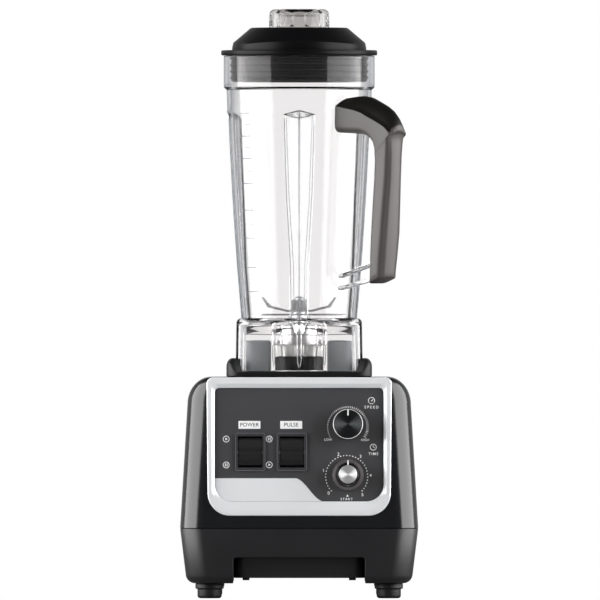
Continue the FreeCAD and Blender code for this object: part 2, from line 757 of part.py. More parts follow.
pad = Piece("jar_pad")
pad.pad("deck_z", "jar_z", rounded("0 - pad_half_width", "pad_half_width", "0 - pad_half_width",
                                   "pad_half_width", "pad_corner"))
pad.pad("deck_z", "deck_z + ear_z", rounded("0 - pad_half_width", "pad_half_width",
                                            "0 - pad_half_width", "pad_half_width", "pad_corner"))
clear = ("0 - pad_half_width - 1", "pad_half_width + 1")
pad.pocket("jar_z", "deck_z + ear_z + 1",
           block("0 - pad_half_width + ear_thick", "pad_half_width - ear_thick", *clear))
pad.pocket("jar_z", "deck_z + ear_z + 1",
           block(*clear, "0 - pad_half_width + ear_reach", "pad_half_width - ear_reach"))
pad.pad("jar_z", "deck_z + post_z", rounded("post_inner", "post_outer", "post_inner",
                                            "post_outer", "4")).around(4)
pad.pad("jar_z", "deck_z + collar_z", ring("0", "0", "collar_radius"))
pad.pocket("deck_z - 1", "deck_z + collar_z + 1", ring("0", "0", "collar_bore"))
pad.stand()

# ---------------------------------------------------------------- motor

mounts = Piece("motor_mounts")
mounts.pad("mount_z", "deck_z - casing_wall",
           ring("mount_reach", "0", "mount_radius")).around(4)
mounts.stand(turn="45")

for name, low, high in (("upper", "mount_z - bracket_thick", "mount_z"),
                        ("lower", "lower_bracket_low", "lower_bracket_high")):
    bracket = Piece(name + "_motor_bracket")
    bracket.pad(low, high, ring("0", "0", "bracket_radius"), ring("0", "0", "ball_bearing_radius"))
    bracket.pocket(low, high, rounded("14", "27", "0 - 9", "9", "4")).around(4)
    bracket.pad(low, high, ring("bolt_reach * sqrt(2)", "0", "bolt_radius + 3"),
                ring("bolt_reach * sqrt(2)", "0", "bolt_radius"), spin="45").around(4)
    bracket.stand()
    bearing = Piece(name + "_bearing")
    bearing.pad(f"({low} + {high} - ball_bearing_thick) / 2",
                f"({low} + {high} + ball_bearing_thick) / 2",
                ring("0", "0", "ball_bearing_radius"),
                ring("0", "0", "shaft_radius + running_gap"))
    bearing.stand()

stator = Piece("motor_stator")
stator.pad("stator_low", "stator_high", rounded(
    "0 - stator_half_width", "stator_half_width", "0 - stator_half_width", "stator_half_width",
    "stator_corner"), ring("0", "0", "stator_bore"))
stator.pocket("stator_low", "stator_high",
              ring("bolt_reach * sqrt(2)", "0", "bolt_radius"), spin="45").around(4)
stator.stand()

windings = Piece("field_windings")
for low, high in (("stator_low - winding_length", "stator_low"),
                  ("stator_high", "stator_high + winding_length")):
    windings.pad(low, high, rounded("0 - 38", "38", "0 - 34", "34", "14"),
                 ring("0", "0", "stator_bore + 3"))
windings.stand()

bolts = Piece("motor_bolts")
bolts.pad("lower_bracket_low - 3", "mount_z - 1",
          ring("bolt_reach * sqrt(2)", "0", "bolt_radius")).around(4)
bolts.stand(turn="45")

holders = Piece("brush_holders")
holders.slab("brush_size + 5", block("commutator_radius + 2", "bolt_reach - 2",
                                     "lower_bracket_high", "commutator_high - 2"))
holders.slot("brush_size", block("commutator_radius + 1", "bolt_reach - 4",
                                 "commutator_low + 3", "commutator_low + 3 + brush_size"))
holders.slab("brush_size + 5", block("0 - bolt_reach + 2", "0 - commutator_radius - 2",
                                     "lower_bracket_high", "commutator_high - 2"))
holders.slot("brush_size", block("0 - bolt_reach + 4", "0 - commutator_radius - 1",
                                 "commutator_low + 3", "commutator_low + 3 + brush_size"))
holders.stand()

brushes = Piece("carbon_brushes")
for low, high in (("commutator_radius + 0.3", "bolt_reach - 8"),
                  ("0 - bolt_reach + 8", "0 - commutator_radius - 0.3")):
    brushes.slab("brush_size - 0.1", block(low, high, "commutator_low + 3.05",
                                           "commutator_low + 2.95 + brush_size"))
brushes.stand()

shroud = Piece("fan_shroud")
shroud.pad("fan_low - 2", "lower_bracket_low", ring("0", "0", "bracket_radius - 1"),
           ring("0", "0", "fan_radius + shroud_gap"))
shroud.stand()

motor_shaft = Piece("motor_shaft")
motor_shaft.pad("fan_low - 2", "socket_floor", ring("0", "0", "shaft_radius"))
motor_shaft.stand()

armature = Piece("armature")
armature.pad("stator_low", "stator_high", ring("0", "0", "armature_radius"),
             ring("0", "0", "shaft_radius"))
armature.pad("stator_low - winding_length", "stator_low",
             ring("0", "0", "armature_radius - 3"), ring("0", "0", "shaft_radius"))
armature.pad("stator_high", "stator_high + winding_length",
             ring("0", "0", "armature_radius - 3"), ring("0", "0", "shaft_radius"))
armature.pocket("stator_low", "stator_high", block("armature_radius - 3", "armature_radius + 1",
                                                   "0 - 1", "1")).around(12)
armature.stand()

commutator = Piece("commutator")
commutator.pad("commutator_low", "commutator_high", ring("0", "0", "commutator_radius"),
               ring("0", "0", "shaft_radius"))
commutator.pocket("commutator_low", "commutator_high",
                  block("commutator_radius - 1", "commutator_radius + 1", "0 - 0.3", "0.3")
                  ).around(12)
commutator.stand()

fan = Piece("cooling_fan")
fan.pad("fan_low", "fan_low + 1.5", ring("0", "0", "fan_radius"), ring("0", "0", "shaft_radius"))
fan.pad("fan_low", "fan_high", ring("0", "0", "9"), ring("0", "0", "shaft_radius"))
fan.pad("fan_low", "fan_high", block("8", "fan_radius - 1", "0 - 0.8", "0.8")).around(12)
fan.stand()

socket = Piece("drive_socket")
socket.turn([("shaft_radius", "socket_low"), ("socket_radius - 3", "socket_low"),
             ("socket_radius", "socket_low + 3"), ("socket_radius", "socket_high - 1"),
             ("socket_radius - 1", "socket_high"), ("spline_radius + spline_gap", "socket_high"),
             ("spline_radius + spline_gap", "socket_floor"), ("shaft_radius", "socket_floor")])
socket.stand()

# ---------------------------------------------------------------- jar

jar = Piece("jar")
jar.pad("0", "skirt_height", rounded("0 - skirt_half_width", "skirt_half_width",
                                     "0 - skirt_half_width", "skirt_half_width", "skirt_corner"))
jar.pocket("0", "skirt_height - skirt_wall", rounded(
    "0 - skirt_half_width + skirt_wall", "skirt_half_width - skirt_wall",
    "0 - skirt_half_width + skirt_wall", "skirt_half_width - skirt_wall",
    "skirt_corner - skirt_wall"))
jar.pocket("skirt_height - skirt_wall - 1", "skirt_height + 1",
           ring("0", "0", "jar_low_radius - jar_wall / 2"))
jar.turn([
    ("hub_radius + 0.1", "boss_under"), ("boss_radius", "boss_under"),
    ("boss_radius", "floor_under"), ("jar_low_radius - 9", "floor_under"),
    ("jar_low_radius - 0.7", "skirt_height - 6"), ("jar_low_radius", "jar_low"),
    ("jar_mid_radius", "jar_mid"), ("jar_top_radius", "jar_top"),
    ("jar_rim_radius", "jar_top + 3"), ("jar_rim_radius", "jar_height"),
    ("jar_rim_radius - jar_wall", "jar_height"), ("jar_rim_radius - jar_wall", "jar_top + 4"),
    ("jar_top_radius - jar_wall", "jar_top"), ("jar_mid_radius - jar_wall", "jar_mid"),
    ("jar_low_radius - jar_wall", "jar_low + 2"), ("jar_low_radius - 11", "floor_top + 1"),
    ("jar_low_radius - 20", "floor_top"), ("hub_radius + 0.1", "floor_top")])
BAFFLES = (("baffle_low", "jar_low_radius", "baffle_half_low", "baffle_deep_low"),
           ("baffle_top", "jar_top_radius - 1", "baffle_half_top", "baffle_deep_top"))
jar.loft([(level, shape([
    (f"{radius} - 1.2", f"0 - {half} - 2"), (f"{radius} - 1.2", f"{half} + 2"),
    (f"{radius} - {deep} - jar_wall", "0")])) for level, radius, half, deep in BAFFLES])
jar.around(4)
jar.loft([(level, shape([
    (f"{radius} + 2", f"0 - {half} * 1.3"), (f"{radius} + 2", f"{half} * 1.3"),
    (f"{radius} - {deep}", "0")])) for level, radius, half, deep in BAFFLES], grows=False)
jar.around(4)


def spout_wire(reach, half, inset):
    """The pouring lip's outline at one height."""
    return shape([(f"jar_top_radius - 6", f"0 - {half} + ({inset})"),
                  (f"jar_top_radius - 1", f"0 - {half} + ({inset})"),
                  (f"{reach} - ({inset})", f"0 - 7 + ({inset})"),
                  (f"{reach} - ({inset})", f"7 - ({inset})"),
                  (f"jar_top_radius - 1", f"{half} - ({inset})"),
                  (f"jar_top_radius - 6", f"{half} - ({inset})")])


SPOUT = (("jar_height - spout_drop", "jar_top_radius + 1", "spout_half_width * 0.5"),
         ("jar_height", "spout_reach", "spout_half_width"))
jar.loft([(level, spout_wire(reach, half, "0")) for level, reach, half in SPOUT], spin="135")
jar.loft([(level, spout_wire(reach, half, "jar_wall")) for level, reach, half in SPOUT],
         grows=False, spin="135")
jar.bore([("0", "jar_top + 4"), ("jar_rim_radius - jar_wall", "jar_top + 4"),
          ("jar_rim_radius - jar_wall", "jar_height"), ("0", "jar_height")])


def bracket_strip(low_in, high_in, low_out, high_out):
    return shape([("jar_low_radius + 1", low_in), ("94", low_out), ("94", high_out),
                  ("jar_low_radius + 1", high_in)])


jar.slab("bracket_width", bracket_strip("70.2", "70.2 + bracket_bar", "79", "79 + bracket_bar"),
         spin="handle_turn")
jar.slab("bracket_width", bracket_strip("80.8", "80.8 + bracket_bar", "92.4", "92.4 + bracket_bar"),
         spin="handle_turn")
jar.slab("bracket_web", bracket_strip("70.2 + bracket_bar", "80.8", "79 + bracket_bar", "92.4"),
         spin="handle_turn")
jar.stand(z="jar_z")

handle = Piece("handle")
handle.slab("grip_width", shape([
    ("88", "205.6"), ("98", "200"), ("100", "194.6"), ("99.8", "187.6"), ("96.8", "119.6"),
    ("94.2", "83.6"), ("93.9", "75.6"), ("111", "81.6"), ("115.1", "119.6"), ("119.6", "187.6"),
    ("121", "207")]))
handle.slab("hood_width", shape([
    ("56", "206"), ("118", "206"), ("123.5", "207.6"), ("123.5", "215.6"), ("119", "223"),
    ("112", "228"), ("99", "233"), ("82", "238"), ("56", "237")]))
handle.bore([("0", "150"), ("jar_mid_radius - 3 + handle_joint", "150"),
             ("jar_mid_radius + handle_joint", "jar_mid"),
             ("jar_top_radius + handle_joint", "jar_top"), ("0", "jar_top")])
handle.stand(z="jar_z", turn="handle_turn")

# ---------------------------------------------------------------- blade unit

hub = Piece("bearing_housing")
hub.turn([("ball_bearing_radius", "nut_z + 1"), ("hub_radius", "nut_z + 1"),
          ("hub_radius", "flange_z"), ("hub_flange_radius", "flange_z"),
          ("hub_flange_radius", "flange_z + hub_flange_thick"),
          ("hub_neck_radius", "flange_z + hub_flange_thick"),
          ("hub_neck_radius", "jar_z + hub_neck - 1"), ("shaft_radius + 0.6", "jar_z + hub_neck - 1"),
          ("shaft_radius + 0.6", "flange_z + 3"), ("ball_bearing_radius", "flange_z + 3")])
hub.stand()

blade_bearings = Piece("blade_bearings")
for low in ("nut_z + 3", "flange_z - 4"):
    blade_bearings.pad(low, f"{low} + ball_bearing_thick", ring("0", "0", "ball_bearing_radius"),
                       ring("0", "0", "shaft_radius + running_gap"))
blade_bearings.stand()

seal = Piece("shaft_seal")
seal.pad("nut_z + 10", "nut_z + 14", ring("0", "0", "ball_bearing_radius"),
         ring("0", "0", "shaft_radius + running_gap"))
seal.stand()

gasket = Piece("hub_gasket")
gasket.pad("jar_z + floor_top", "flange_z", ring("0", "0", "hub_flange_radius"),
           ring("0", "0", "hub_radius"))
gasket.stand()

nut = Piece("retaining_nut")
nut.turn([("hub_radius", "nut_z"), ("nut_radius_low", "nut_z"),
          ("nut_radius_high", "nut_z + nut_drop - 1"), ("nut_radius_high - 1", "nut_z + nut_drop"),
          ("hub_radius", "nut_z + nut_drop")])
nut.pocket("nut_z", "nut_z + 4", block("nut_radius_low - 3", "nut_radius_low + 4", "0 - 2.5", "2.5")
           ).around(6)
nut.stand()

blade_shaft = Piece("blade_shaft")
blade_shaft.turn([("0", "spline_low"), ("spline_radius", "spline_low"),
                  ("spline_radius", "nut_z - 0.6"), ("shaft_radius", "nut_z - 0.6"),
                  ("shaft_radius", "blade_z + 12"), ("0", "blade_z + 12")])
blade_shaft.stand()

lower_blades = Piece("lower_blades")
lower_blades.pad("blade_z", "blade_z + blade_thick", shape([
    ("0 - blade_radius", "0 - blade_point"), ("0 - blade_radius + blade_clip", "0 - blade_width / 2"),
    ("blade_radius", "0 - blade_width / 2 + blade_slant"), ("blade_radius", "blade_point"),
    ("blade_radius - blade_clip", "blade_width / 2"),
    ("0 - blade_radius", "blade_width / 2 - blade_slant")]),
    ring("0", "0", "shaft_radius"))
lower_blades.stand(turn="lower_blade_turn")

spacer = Piece("blade_spacer")
spacer.pad("blade_z + blade_thick", "blade_z + blade_thick + spacer_thick",
           ring("0", "0", "cap_nut_radius"), ring("0", "0", "shaft_radius"))
spacer.stand()

upper_blades = Piece("upper_blades")
wing = "blade_z + blade_thick + spacer_thick"
knee = f"{wing} + wing_rise"
tip = f"{wing} + blade_tip_rise"
upper_blades.slab("blade_width", shape([
    ("0 - blade_tip_radius - blade_thick", tip), ("0 - blade_tip_radius + wing_rise", knee),
    ("0 - wing_flat", wing), ("wing_flat", wing), ("blade_tip_radius - wing_rise", knee),
    ("blade_tip_radius + blade_thick", tip), ("blade_tip_radius", tip),
    ("blade_tip_radius - wing_bend", f"{knee} + blade_thick"),
    ("wing_flat - blade_thick / 2", f"{wing} + blade_thick"),
    ("0 - wing_flat + blade_thick / 2", f"{wing} + blade_thick"),
    ("0 - blade_tip_radius + wing_bend", f"{knee} + blade_thick"),
    ("0 - blade_tip_radius", tip)]))
upper_blades.pocket(f"{wing} - 1", f"{knee}", ring("0", "0", "shaft_radius"))
upper_blades.stand(turn="0 - upper_blade_turn")

cap_nut = Piece("blade_cap_nut")
nut_foot = f"{wing} + blade_thick"
cap_nut.pad(nut_foot, f"{nut_foot} + cap_nut_height - 3", shape([
    (f"cap_nut_radius * cos({60 * i})", f"cap_nut_radius * sin({60 * i})") for i in range(6)]))
cap_nut.turn([("0", f"{nut_foot} + cap_nut_height - 4"), ("7", f"{nut_foot} + cap_nut_height - 4"),
              ("6.4", f"{nut_foot} + cap_nut_height - 1.6"),
              ("3.6", f"{nut_foot} + cap_nut_height"), ("0", f"{nut_foot} + cap_nut_height")])
cap_nut.pocket(f"{nut_foot} - 1", "blade_z + 12", ring("0", "0", "shaft_radius"))
cap_nut.stand()

# ---------------------------------------------------------------- lid and filler cap

lid = Piece("lid")
rib_points = []
for i in range(4):
    level = f"0 - plug_rib_first - {i} * plug_rib_pitch"
    crest = f"{level} - plug_rib_slope"
    rib_points += [("plug_radius", level), ("plug_radius + plug_rib", crest),
                   ("plug_radius + plug_rib", f"{crest} - plug_rib_flat"),
                   ("plug_radius", f"{crest} - plug_rib_flat - plug_rib_slope")]
lid.turn([("plug_radius - lid_wall", "0 - plug_depth"), ("plug_radius - plug_lead_in", "0 - plug_depth")]
         + rib_points[::-1]
         + [("plug_radius", "0"), ("brim_radius - lid_edge", "0"), ("brim_radius", "lid_edge"),
            ("brim_radius", "brim_thick - lid_edge"), ("brim_radius - lid_edge", "brim_thick"),
            ("dome_foot_radius", "brim_thick"), ("dome_foot_radius", "brim_thick + dome_wall"),
            ("dome_top_radius", "dome_height"), ("filler_radius", "dome_height"),
            ("filler_radius", "dome_height - dome_skin"),
            ("dome_top_radius - dome_lip", "dome_height - dome_skin"),
            ("plug_radius - lid_wall", "brim_thick - lid_edge")])
lid.stand(z="brim_z")

cap = Piece("filler_cap")
cap.turn([("cap_stem_radius - cap_wall", "0 - cap_stem_depth"), ("cap_stem_radius", "0 - cap_stem_depth"),
          ("cap_stem_radius", "0"), ("cap_radius", "0"), ("cap_radius", "cap_height - 4"),
          ("cap_radius - 1.2", "cap_height - 1.2"), ("cap_radius - 4", "cap_height"),
          ("0", "cap_height"), ("0", "cap_height - cap_wall"),
          ("cap_stem_radius - cap_wall", "cap_height - cap_wall")])
cap.pocket("0 - 1", "cap_height + 1", ring("cap_radius + cap_flute_radius - cap_flute_sink", "0",
                                           "cap_flute_radius")).around(20)
cap.stand(z="dome_z")

# ---------------------------------------------------------------- export

doc.recompute()
for item in doc.Objects:
    if "Invalid" in item.State or "Error" in item.State:
        raise ValueError(f"{item.Name} did not build: {item.State}")
os.makedirs("parts", exist_ok=True)
for piece in pieces:
    solid = piece.body.Shape
    if solid.isNull() or not solid.isValid() or not solid.Solids:
        raise ValueError(f"{piece.body.Label} is not a sound solid")
    solid.exportStep(f"parts/{piece.body.Label}.step")
print(len(pieces), "pieces")
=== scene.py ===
import json
import math

import bmesh
import bpy
from mathutils import Matrix, Vector


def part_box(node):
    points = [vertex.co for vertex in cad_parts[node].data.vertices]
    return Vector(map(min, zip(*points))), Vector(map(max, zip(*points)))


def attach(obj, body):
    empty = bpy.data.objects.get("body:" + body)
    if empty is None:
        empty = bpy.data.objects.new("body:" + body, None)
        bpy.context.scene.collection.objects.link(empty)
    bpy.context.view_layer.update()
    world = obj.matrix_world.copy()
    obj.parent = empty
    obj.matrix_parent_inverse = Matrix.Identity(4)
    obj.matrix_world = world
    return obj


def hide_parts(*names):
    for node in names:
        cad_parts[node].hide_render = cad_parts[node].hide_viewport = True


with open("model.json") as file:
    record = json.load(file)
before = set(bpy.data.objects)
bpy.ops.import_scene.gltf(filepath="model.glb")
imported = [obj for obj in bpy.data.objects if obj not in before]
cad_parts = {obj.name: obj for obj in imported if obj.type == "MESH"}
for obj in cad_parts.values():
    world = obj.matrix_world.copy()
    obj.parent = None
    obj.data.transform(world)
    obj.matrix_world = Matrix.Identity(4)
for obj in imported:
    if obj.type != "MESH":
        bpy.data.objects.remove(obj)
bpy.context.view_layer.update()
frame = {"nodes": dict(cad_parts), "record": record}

# ------------------------------------------------------------------ studio
# A pale floor that runs out to white, dim air ahead and above, and a tall soft box at each
# side, which is what the glossy casing's corners mirror. A long lens flattens the view.


def to_linear(colour, alpha=1.0):
    """An sRGB hex colour as the linear values that a shader takes."""
    parts = [int(colour[i:i + 2], 16) / 255 for i in (1, 3, 5)]
    return tuple(c / 12.92 if c <= 0.04045 else ((c + 0.055) / 1.055) ** 2.4
                 for c in parts) + (alpha,)


def add(tree, kind, settings=None, **links):
    """A node with its settings, and its inputs set to a value or linked to a socket."""
    made = tree.nodes.new(kind)
    for name, setting in (settings or {}).items():
        setattr(made, name, setting)
    for name, source in links.items():
        socket = made.inputs[int(name[1:]) if name[0] == "_" else name.replace("_", " ")]
        if isinstance(source, bpy.types.NodeSocket):
            tree.links.new(source, socket)
        else:
            socket.default_value = source
    return made


def fresh_material(name):
    """An empty node material and its tree."""
    material = bpy.data.materials.new(name)
    material.use_nodes = True
    material.node_tree.nodes.clear()
    return material, material.node_tree


def finish_material(tree, shader):
    """Send a shader to the material's surface."""
    add(tree, "ShaderNodeOutputMaterial", Surface=shader.outputs[0])


def seen_by_eye(tree):
    """1 for what the camera sees, straight or through clear plastic; 0 for light and gloss."""
    rays = add(tree, "ShaderNodeLightPath")
    return add(tree, "ShaderNodeMath", {"operation": "MAXIMUM"}, _0=rays.outputs["Is Camera Ray"],
               _1=rays.outputs["Is Transmission Ray"]).outputs[0]


floor_paint, tree = fresh_material("pale_floor_paint")
paint = add(tree, "ShaderNodeBsdfPrincipled", Base_Color=to_linear("#8A8A8A"), Roughness=0.8)
washed_out = add(tree, "ShaderNodeEmission", Color=to_linear("#FFFFFF"), Strength=1.0)
finish_material(tree, add(tree, "ShaderNodeMixShader", _0=seen_by_eye(tree), _1=paint.outputs[0],
                          _2=washed_out.outputs[0]))
floor_mesh = bpy.data.meshes.new("floor")
FLOOR_REACH = 30.0
floor_mesh.from_pydata([(x * FLOOR_REACH, y * FLOOR_REACH, 0)
                        for x, y in ((-1, -1), (1, -1), (1, 1), (-1, 1))], [], [(0, 1, 2, 3)])
floor = bpy.data.objects.new("floor", floor_mesh)
floor_mesh.materials.append(floor_paint)
bpy.context.collection.objects.link(floor)

world = bpy.data.worlds.new("studio_air")
world.use_nodes = True
tree = world.node_tree
tree.nodes.clear()
AIR_AHEAD, AIR_BEHIND, AIR_ABOVE = 0.22, 0.6, 0.2
way = add(tree, "ShaderNodeTexCoord")
apart = add(tree, "ShaderNodeSeparateXYZ", Vector=way.outputs["Generated"])
behind = add(tree, "ShaderNodeMapRange", _0=apart.outputs[1], _1=-0.1, _2=0.6,
             _3=AIR_AHEAD, _4=AIR_BEHIND)
above = add(tree, "ShaderNodeMapRange", _0=apart.outputs[2], _1=0.15, _2=0.75, _3=1.0,
            _4=AIR_ABOVE)
level = add(tree, "ShaderNodeMath", {"operation": "MULTIPLY"}, _0=behind.outputs[0],
            _1=above.outputs[0])
air = add(tree, "ShaderNodeBackground", Color=to_linear("#FFFFFF"), Strength=level.outputs[0])
backdrop = add(tree, "ShaderNodeBackground", Color=to_linear("#FFFFFF"), Strength=1.0)
mixed = add(tree, "ShaderNodeMixShader", _0=seen_by_eye(tree), _1=air.outputs[0],
            _2=backdrop.outputs[0])
add(tree, "ShaderNodeOutputWorld", Surface=mixed.outputs[0])
bpy.context.scene.world = world
bpy.context.scene.view_settings.view_transform = "Standard"


def soft_box(name, place, target, width, height, power):
    """A rectangular studio light that faces a point."""
    lamp = bpy.data.lights.new(name, "AREA")
    lamp.shape = "RECTANGLE"
    lamp.size = width
    lamp.size_y = height
    lamp.energy = power
    holder = bpy.data.objects.new(name, lamp)
    holder.location = place
    aim = Vector(target) - Vector(place)
    holder.rotation_euler = aim.to_track_quat("-Z", "Y").to_euler()
    bpy.context.collection.objects.link(holder)


BOX_AWAY, BOX_AHEAD, BOX_UP = 1.45, 0.35, 0.4
BOX_WIDE, BOX_HIGH, BOX_WATTS = 1.9, 1.5, 58
MID_HEIGHT = 0.28
for side, name in ((-1, "left_box"), (1, "right_box")):
    soft_box(name, (BOX_AWAY * side, -BOX_AHEAD, BOX_UP), (0, 0, MID_HEIGHT), BOX_WIDE, BOX_HIGH,
             BOX_WATTS)

LENS_MM, SENSOR_MM, CAMERA_AWAY, CAMERA_UP = 1520, 36, 22, 0.258
camera_data = bpy.data.cameras.new("camera")
camera_data.lens = LENS_MM
camera_data.sensor_width = SENSOR_MM
camera_data.clip_end = 100
camera = bpy.data.objects.new("camera", camera_data)
camera.location = (0.0007, -CAMERA_AWAY, CAMERA_UP)
camera.rotation_euler = (math.radians(90), 0, 0)
bpy.context.collection.objects.link(camera)
bpy.context.scene.camera = camera

# ------------------------------------------------------------------ upper casing
# The casing's top half is injection-moulded ABS, polished in the mould to a deep gloss. Its
# corners are rolled panels that meet the front and sides in a soft crease.

MM = 0.001


def box_mm(node):
    """A CAD node's lowest and highest corners, in millimetres."""
    low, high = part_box(node)
    return Vector(low) / MM, Vector(high) / MM


def grain(tree, size_mm, strength, depth_mm=0.05, detail=3.0):
    """A moulded or cast surface's fine relief, as a bump of the size given.

    Real grain is often finer; each size is as coarse as it needs to be to show.
    """
    place = add(tree, "ShaderNodeTexCoord")
    noise = add(tree, "ShaderNodeTexNoise", Vector=place.outputs["Object"],
                Scale=1.0 / (size_mm * MM), Detail=detail, Roughness=0.55)
    bump = add(tree, "ShaderNodeBump", Strength=strength, Distance=depth_mm * MM,
               Height=noise.outputs[0])
    return place, noise, bump


def moulded(name, dark, light, roughness, grain_mm, strength, **extra):
    """A moulded plastic or rubber: a slight drift of colour, and a fine mould texture."""
    material, tree = fresh_material(name)
    place, _, bump = grain(tree, grain_mm, strength)
    drift = add(tree, "ShaderNodeTexNoise", Vector=place.outputs["Object"], Scale=1 / (45 * MM),
                Detail=2.0)
    colour = add(tree, "ShaderNodeMix", {"data_type": "RGBA"}, _0=drift.outputs[0],
                 _6=to_linear(dark), _7=to_linear(light))
    gloss = add(tree, "ShaderNodeMapRange", Value=drift.outputs[0], _3=roughness * 0.85,
                _4=roughness * 1.15)
    shader = add(tree, "ShaderNodeBsdfPrincipled", Base_Color=colour.outputs[2],
                 Roughness=gloss.outputs[0], Normal=bump.outputs[0], **extra)
    finish_material(tree, shader)
    return material


def build(name, rings, closed=False):
    """A mesh skinned over rings of points with equal counts, given in millimetres."""
    mesh = bpy.data.meshes.new(name)
    work = bmesh.new()
    rows = [[work.verts.new(Vector(point) * MM) for point in ring] for ring in rings]
    count = len(rows[0])
    pairs = list(zip(rows, rows[1:]))
    if closed:
        pairs.append((rows[-1], rows[0]))
    for low, high in pairs:
        for i in range(count):
            j = (i + 1) % count
            work.faces.new((low[i], low[j], high[j], high[i]))
    if not closed:
        work.faces.new(rows[0][::-1])
        work.faces.new(rows[-1])
    bmesh.ops.recalc_face_normals(work, faces=work.faces)
    work.to_mesh(mesh)
    work.free()
    return mesh


def place(mesh, body, slot, material, replaced=(), crease=30, bevel=None):
    """An object for a finished mesh, shaded, painted and riding on its body."""
    mesh.materials.clear()
    mesh.materials.append(material)
    mesh.shade_smooth()
    mesh.set_sharp_from_angle(angle=math.radians(crease))
    piece = bpy.data.objects.new(mesh.name, mesh)
    bpy.context.collection.objects.link(piece)
    if bevel:
        soften = piece.modifiers.new("edges", "BEVEL")
        soften.width = bevel * MM
        soften.segments = 2
        soften.limit_method = "ANGLE"
        soften.angle_limit = math.radians(40)
    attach(piece, body)
    if replaced:
        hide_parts(*replaced)
    return piece


def carve(mesh, cutters):
    """Cut meshes out of a mesh."""
    body = bpy.data.objects.new("carving", mesh)
    bpy.context.collection.objects.link(body)
    tools = []
    for cutter in cutters:
        tool = bpy.data.objects.new("cutter", cutter)
        bpy.context.collection.objects.link(tool)
        tools.append(tool)
        step = body.modifiers.new("cut", "BOOLEAN")
        step.operation = "DIFFERENCE"
        step.solver = "EXACT"
        step.object = tool
    bpy.context.view_layer.update()
    result = bpy.data.meshes.new_from_object(
        body.evaluated_get(bpy.context.evaluated_depsgraph_get()))
    result.name = mesh.name + "_cut"
    for item in [body] + tools:
        bpy.data.objects.remove(item)
    return result


def arc(centre_x, centre_y, radius, start, end, steps):
    """Points along a circular arc, angles in degrees."""
    return [(centre_x + radius * math.cos(math.radians(start + (end - start) * i / steps)),
             centre_y + radius * math.sin(math.radians(start + (end - start) * i / steps)))
            for i in range(steps + 1)]


def outline(corners, steps=8):
    """A closed outline with a round corner at each (x, y, radius), anticlockwise."""
    points = []
    count = len(corners)
    for i, (x, y, radius) in enumerate(corners):
        here = Vector((x, y))
        before = (Vector(corners[i - 1][:2]) - here).normalized()
        after = (Vector(corners[(i + 1) % count][:2]) - here).normalized()
        half = before.angle(after) / 2
        reach = radius / math.tan(half)
        centre = here + (before + after).normalized() * (radius / math.sin(half))
        first = here + before * reach - centre
        last = here + after * reach - centre
        turn = first.angle_signed(last)
        for step in range(steps + 1):
            angle = -turn * step / steps
            c, s = math.cos(angle), math.sin(angle)
            points.append((centre.x + first.x * c - first.y * s,
                           centre.y + first.x * s + first.y * c))
    return points


def shrink(corners, inset):
    """The same outline drawn in by an inset, its corner radii smaller by as much."""
    drawn = []
    count = len(corners)
    for i, (x, y, radius) in enumerate(corners):
        here = Vector((x, y))
        before = (Vector(corners[i - 1][:2]) - here).normalized()
        after = (Vector(corners[(i + 1) % count][:2]) - here).normalized()
        half = before.angle(after) / 2
        moved = here + (before + after).normalized() * (inset / math.sin(half))
        drawn.append((moved.x, moved.y, max(radius - inset, 0.3)))
    return drawn


HINGES = {joint["name"]: joint for joint in frame["record"]["behaviour"]["joints"]}
OUT = Vector(HINGES["speed_turn"]["axis"])
UP = OUT.cross(Vector((1, 0, 0)))
SPEED_SPOT = Vector(HINGES["speed_turn"]["pos_m"]) / MM
TIMER_SPOT = Vector(HINGES["timer_turn"]["pos_m"]) / MM
CORNER_SWEEP = 72
CORNER_STEPS = 10
casing_low, casing_high = box_mm("upper_housing")
seam, deck = casing_low.z, casing_high.z
SIDE_LEAN = math.tan(math.radians(3.4))
FRONT_LEAN = OUT.z / -OUT.y
SHOULDER_RUN, SHOULDER_RISE = 20.0, 23.3
CASING_CORNER = 19.0
shoulder = deck - SHOULDER_RISE


def rolled_corner(start, end):
    """The corner panel's curve, flatter than a quarter circle, so that it creases at its ends."""
    chord = Vector(end) - Vector(start)
    half = math.radians(CORNER_SWEEP / 2)
    radius = chord.length / (2 * math.sin(half))
    inward = Vector((-chord.y, chord.x)).normalized()
    centre = (Vector(start) + Vector(end)) / 2 + inward * radius * math.cos(half)
    first = Vector(start) - centre
    return [(centre.x + first.x * math.cos(a) - first.y * math.sin(a),
             centre.y + first.x * math.sin(a) + first.y * math.cos(a))
            for a in (2 * half * i / CORNER_STEPS for i in range(CORNER_STEPS + 1))]


def casing_ring(z, half, front, rear, corner):
    """The casing's outline at a height."""
    points = []
    corners = [((half - corner, front), (half, front + corner)),
               ((half, rear - corner), (half - corner, rear)),
               ((-half + corner, rear), (-half, rear - corner)),
               ((-half, front + corner), (-half + corner, front))]
    for start, end in corners:
        points += rolled_corner(start, end)
    return [(x, y, z) for x, y in points]


def upper_ring(z, inset=0.0):
    """The upper casing's outline: leaning sides, then a quarter-ellipse shoulder."""
    climb = max(0.0, (z - shoulder) / (deck - inset - shoulder))
    narrower = SHOULDER_RUN * (1 - math.sqrt(max(0.0, 1 - climb ** 2)))
    level = min(z, shoulder)
    side = (level - seam) * SIDE_LEAN + narrower + inset
    return casing_ring(z, casing_high.x - side, casing_low.y + (z - seam) * FRONT_LEAN + inset,
                       casing_high.y - side, CASING_CORNER - inset - 0.55 * narrower)


def shoulder_levels(top):
    """Heights up the shoulder, closer together towards its top."""
    return [shoulder + (top - shoulder) * math.sin(math.radians(a)) for a in range(0, 91, 6)]


def fan_in(ring, radius, z, shares=(1.0,)):
    """Rings that pass from an outline to a round hole, point for point."""
    return [[(x + (radius * x / math.hypot(x, y) - x) * share,
              y + (radius * y / math.hypot(x, y) - y) * share, z) for x, y, _ in ring]
            for share in shares]


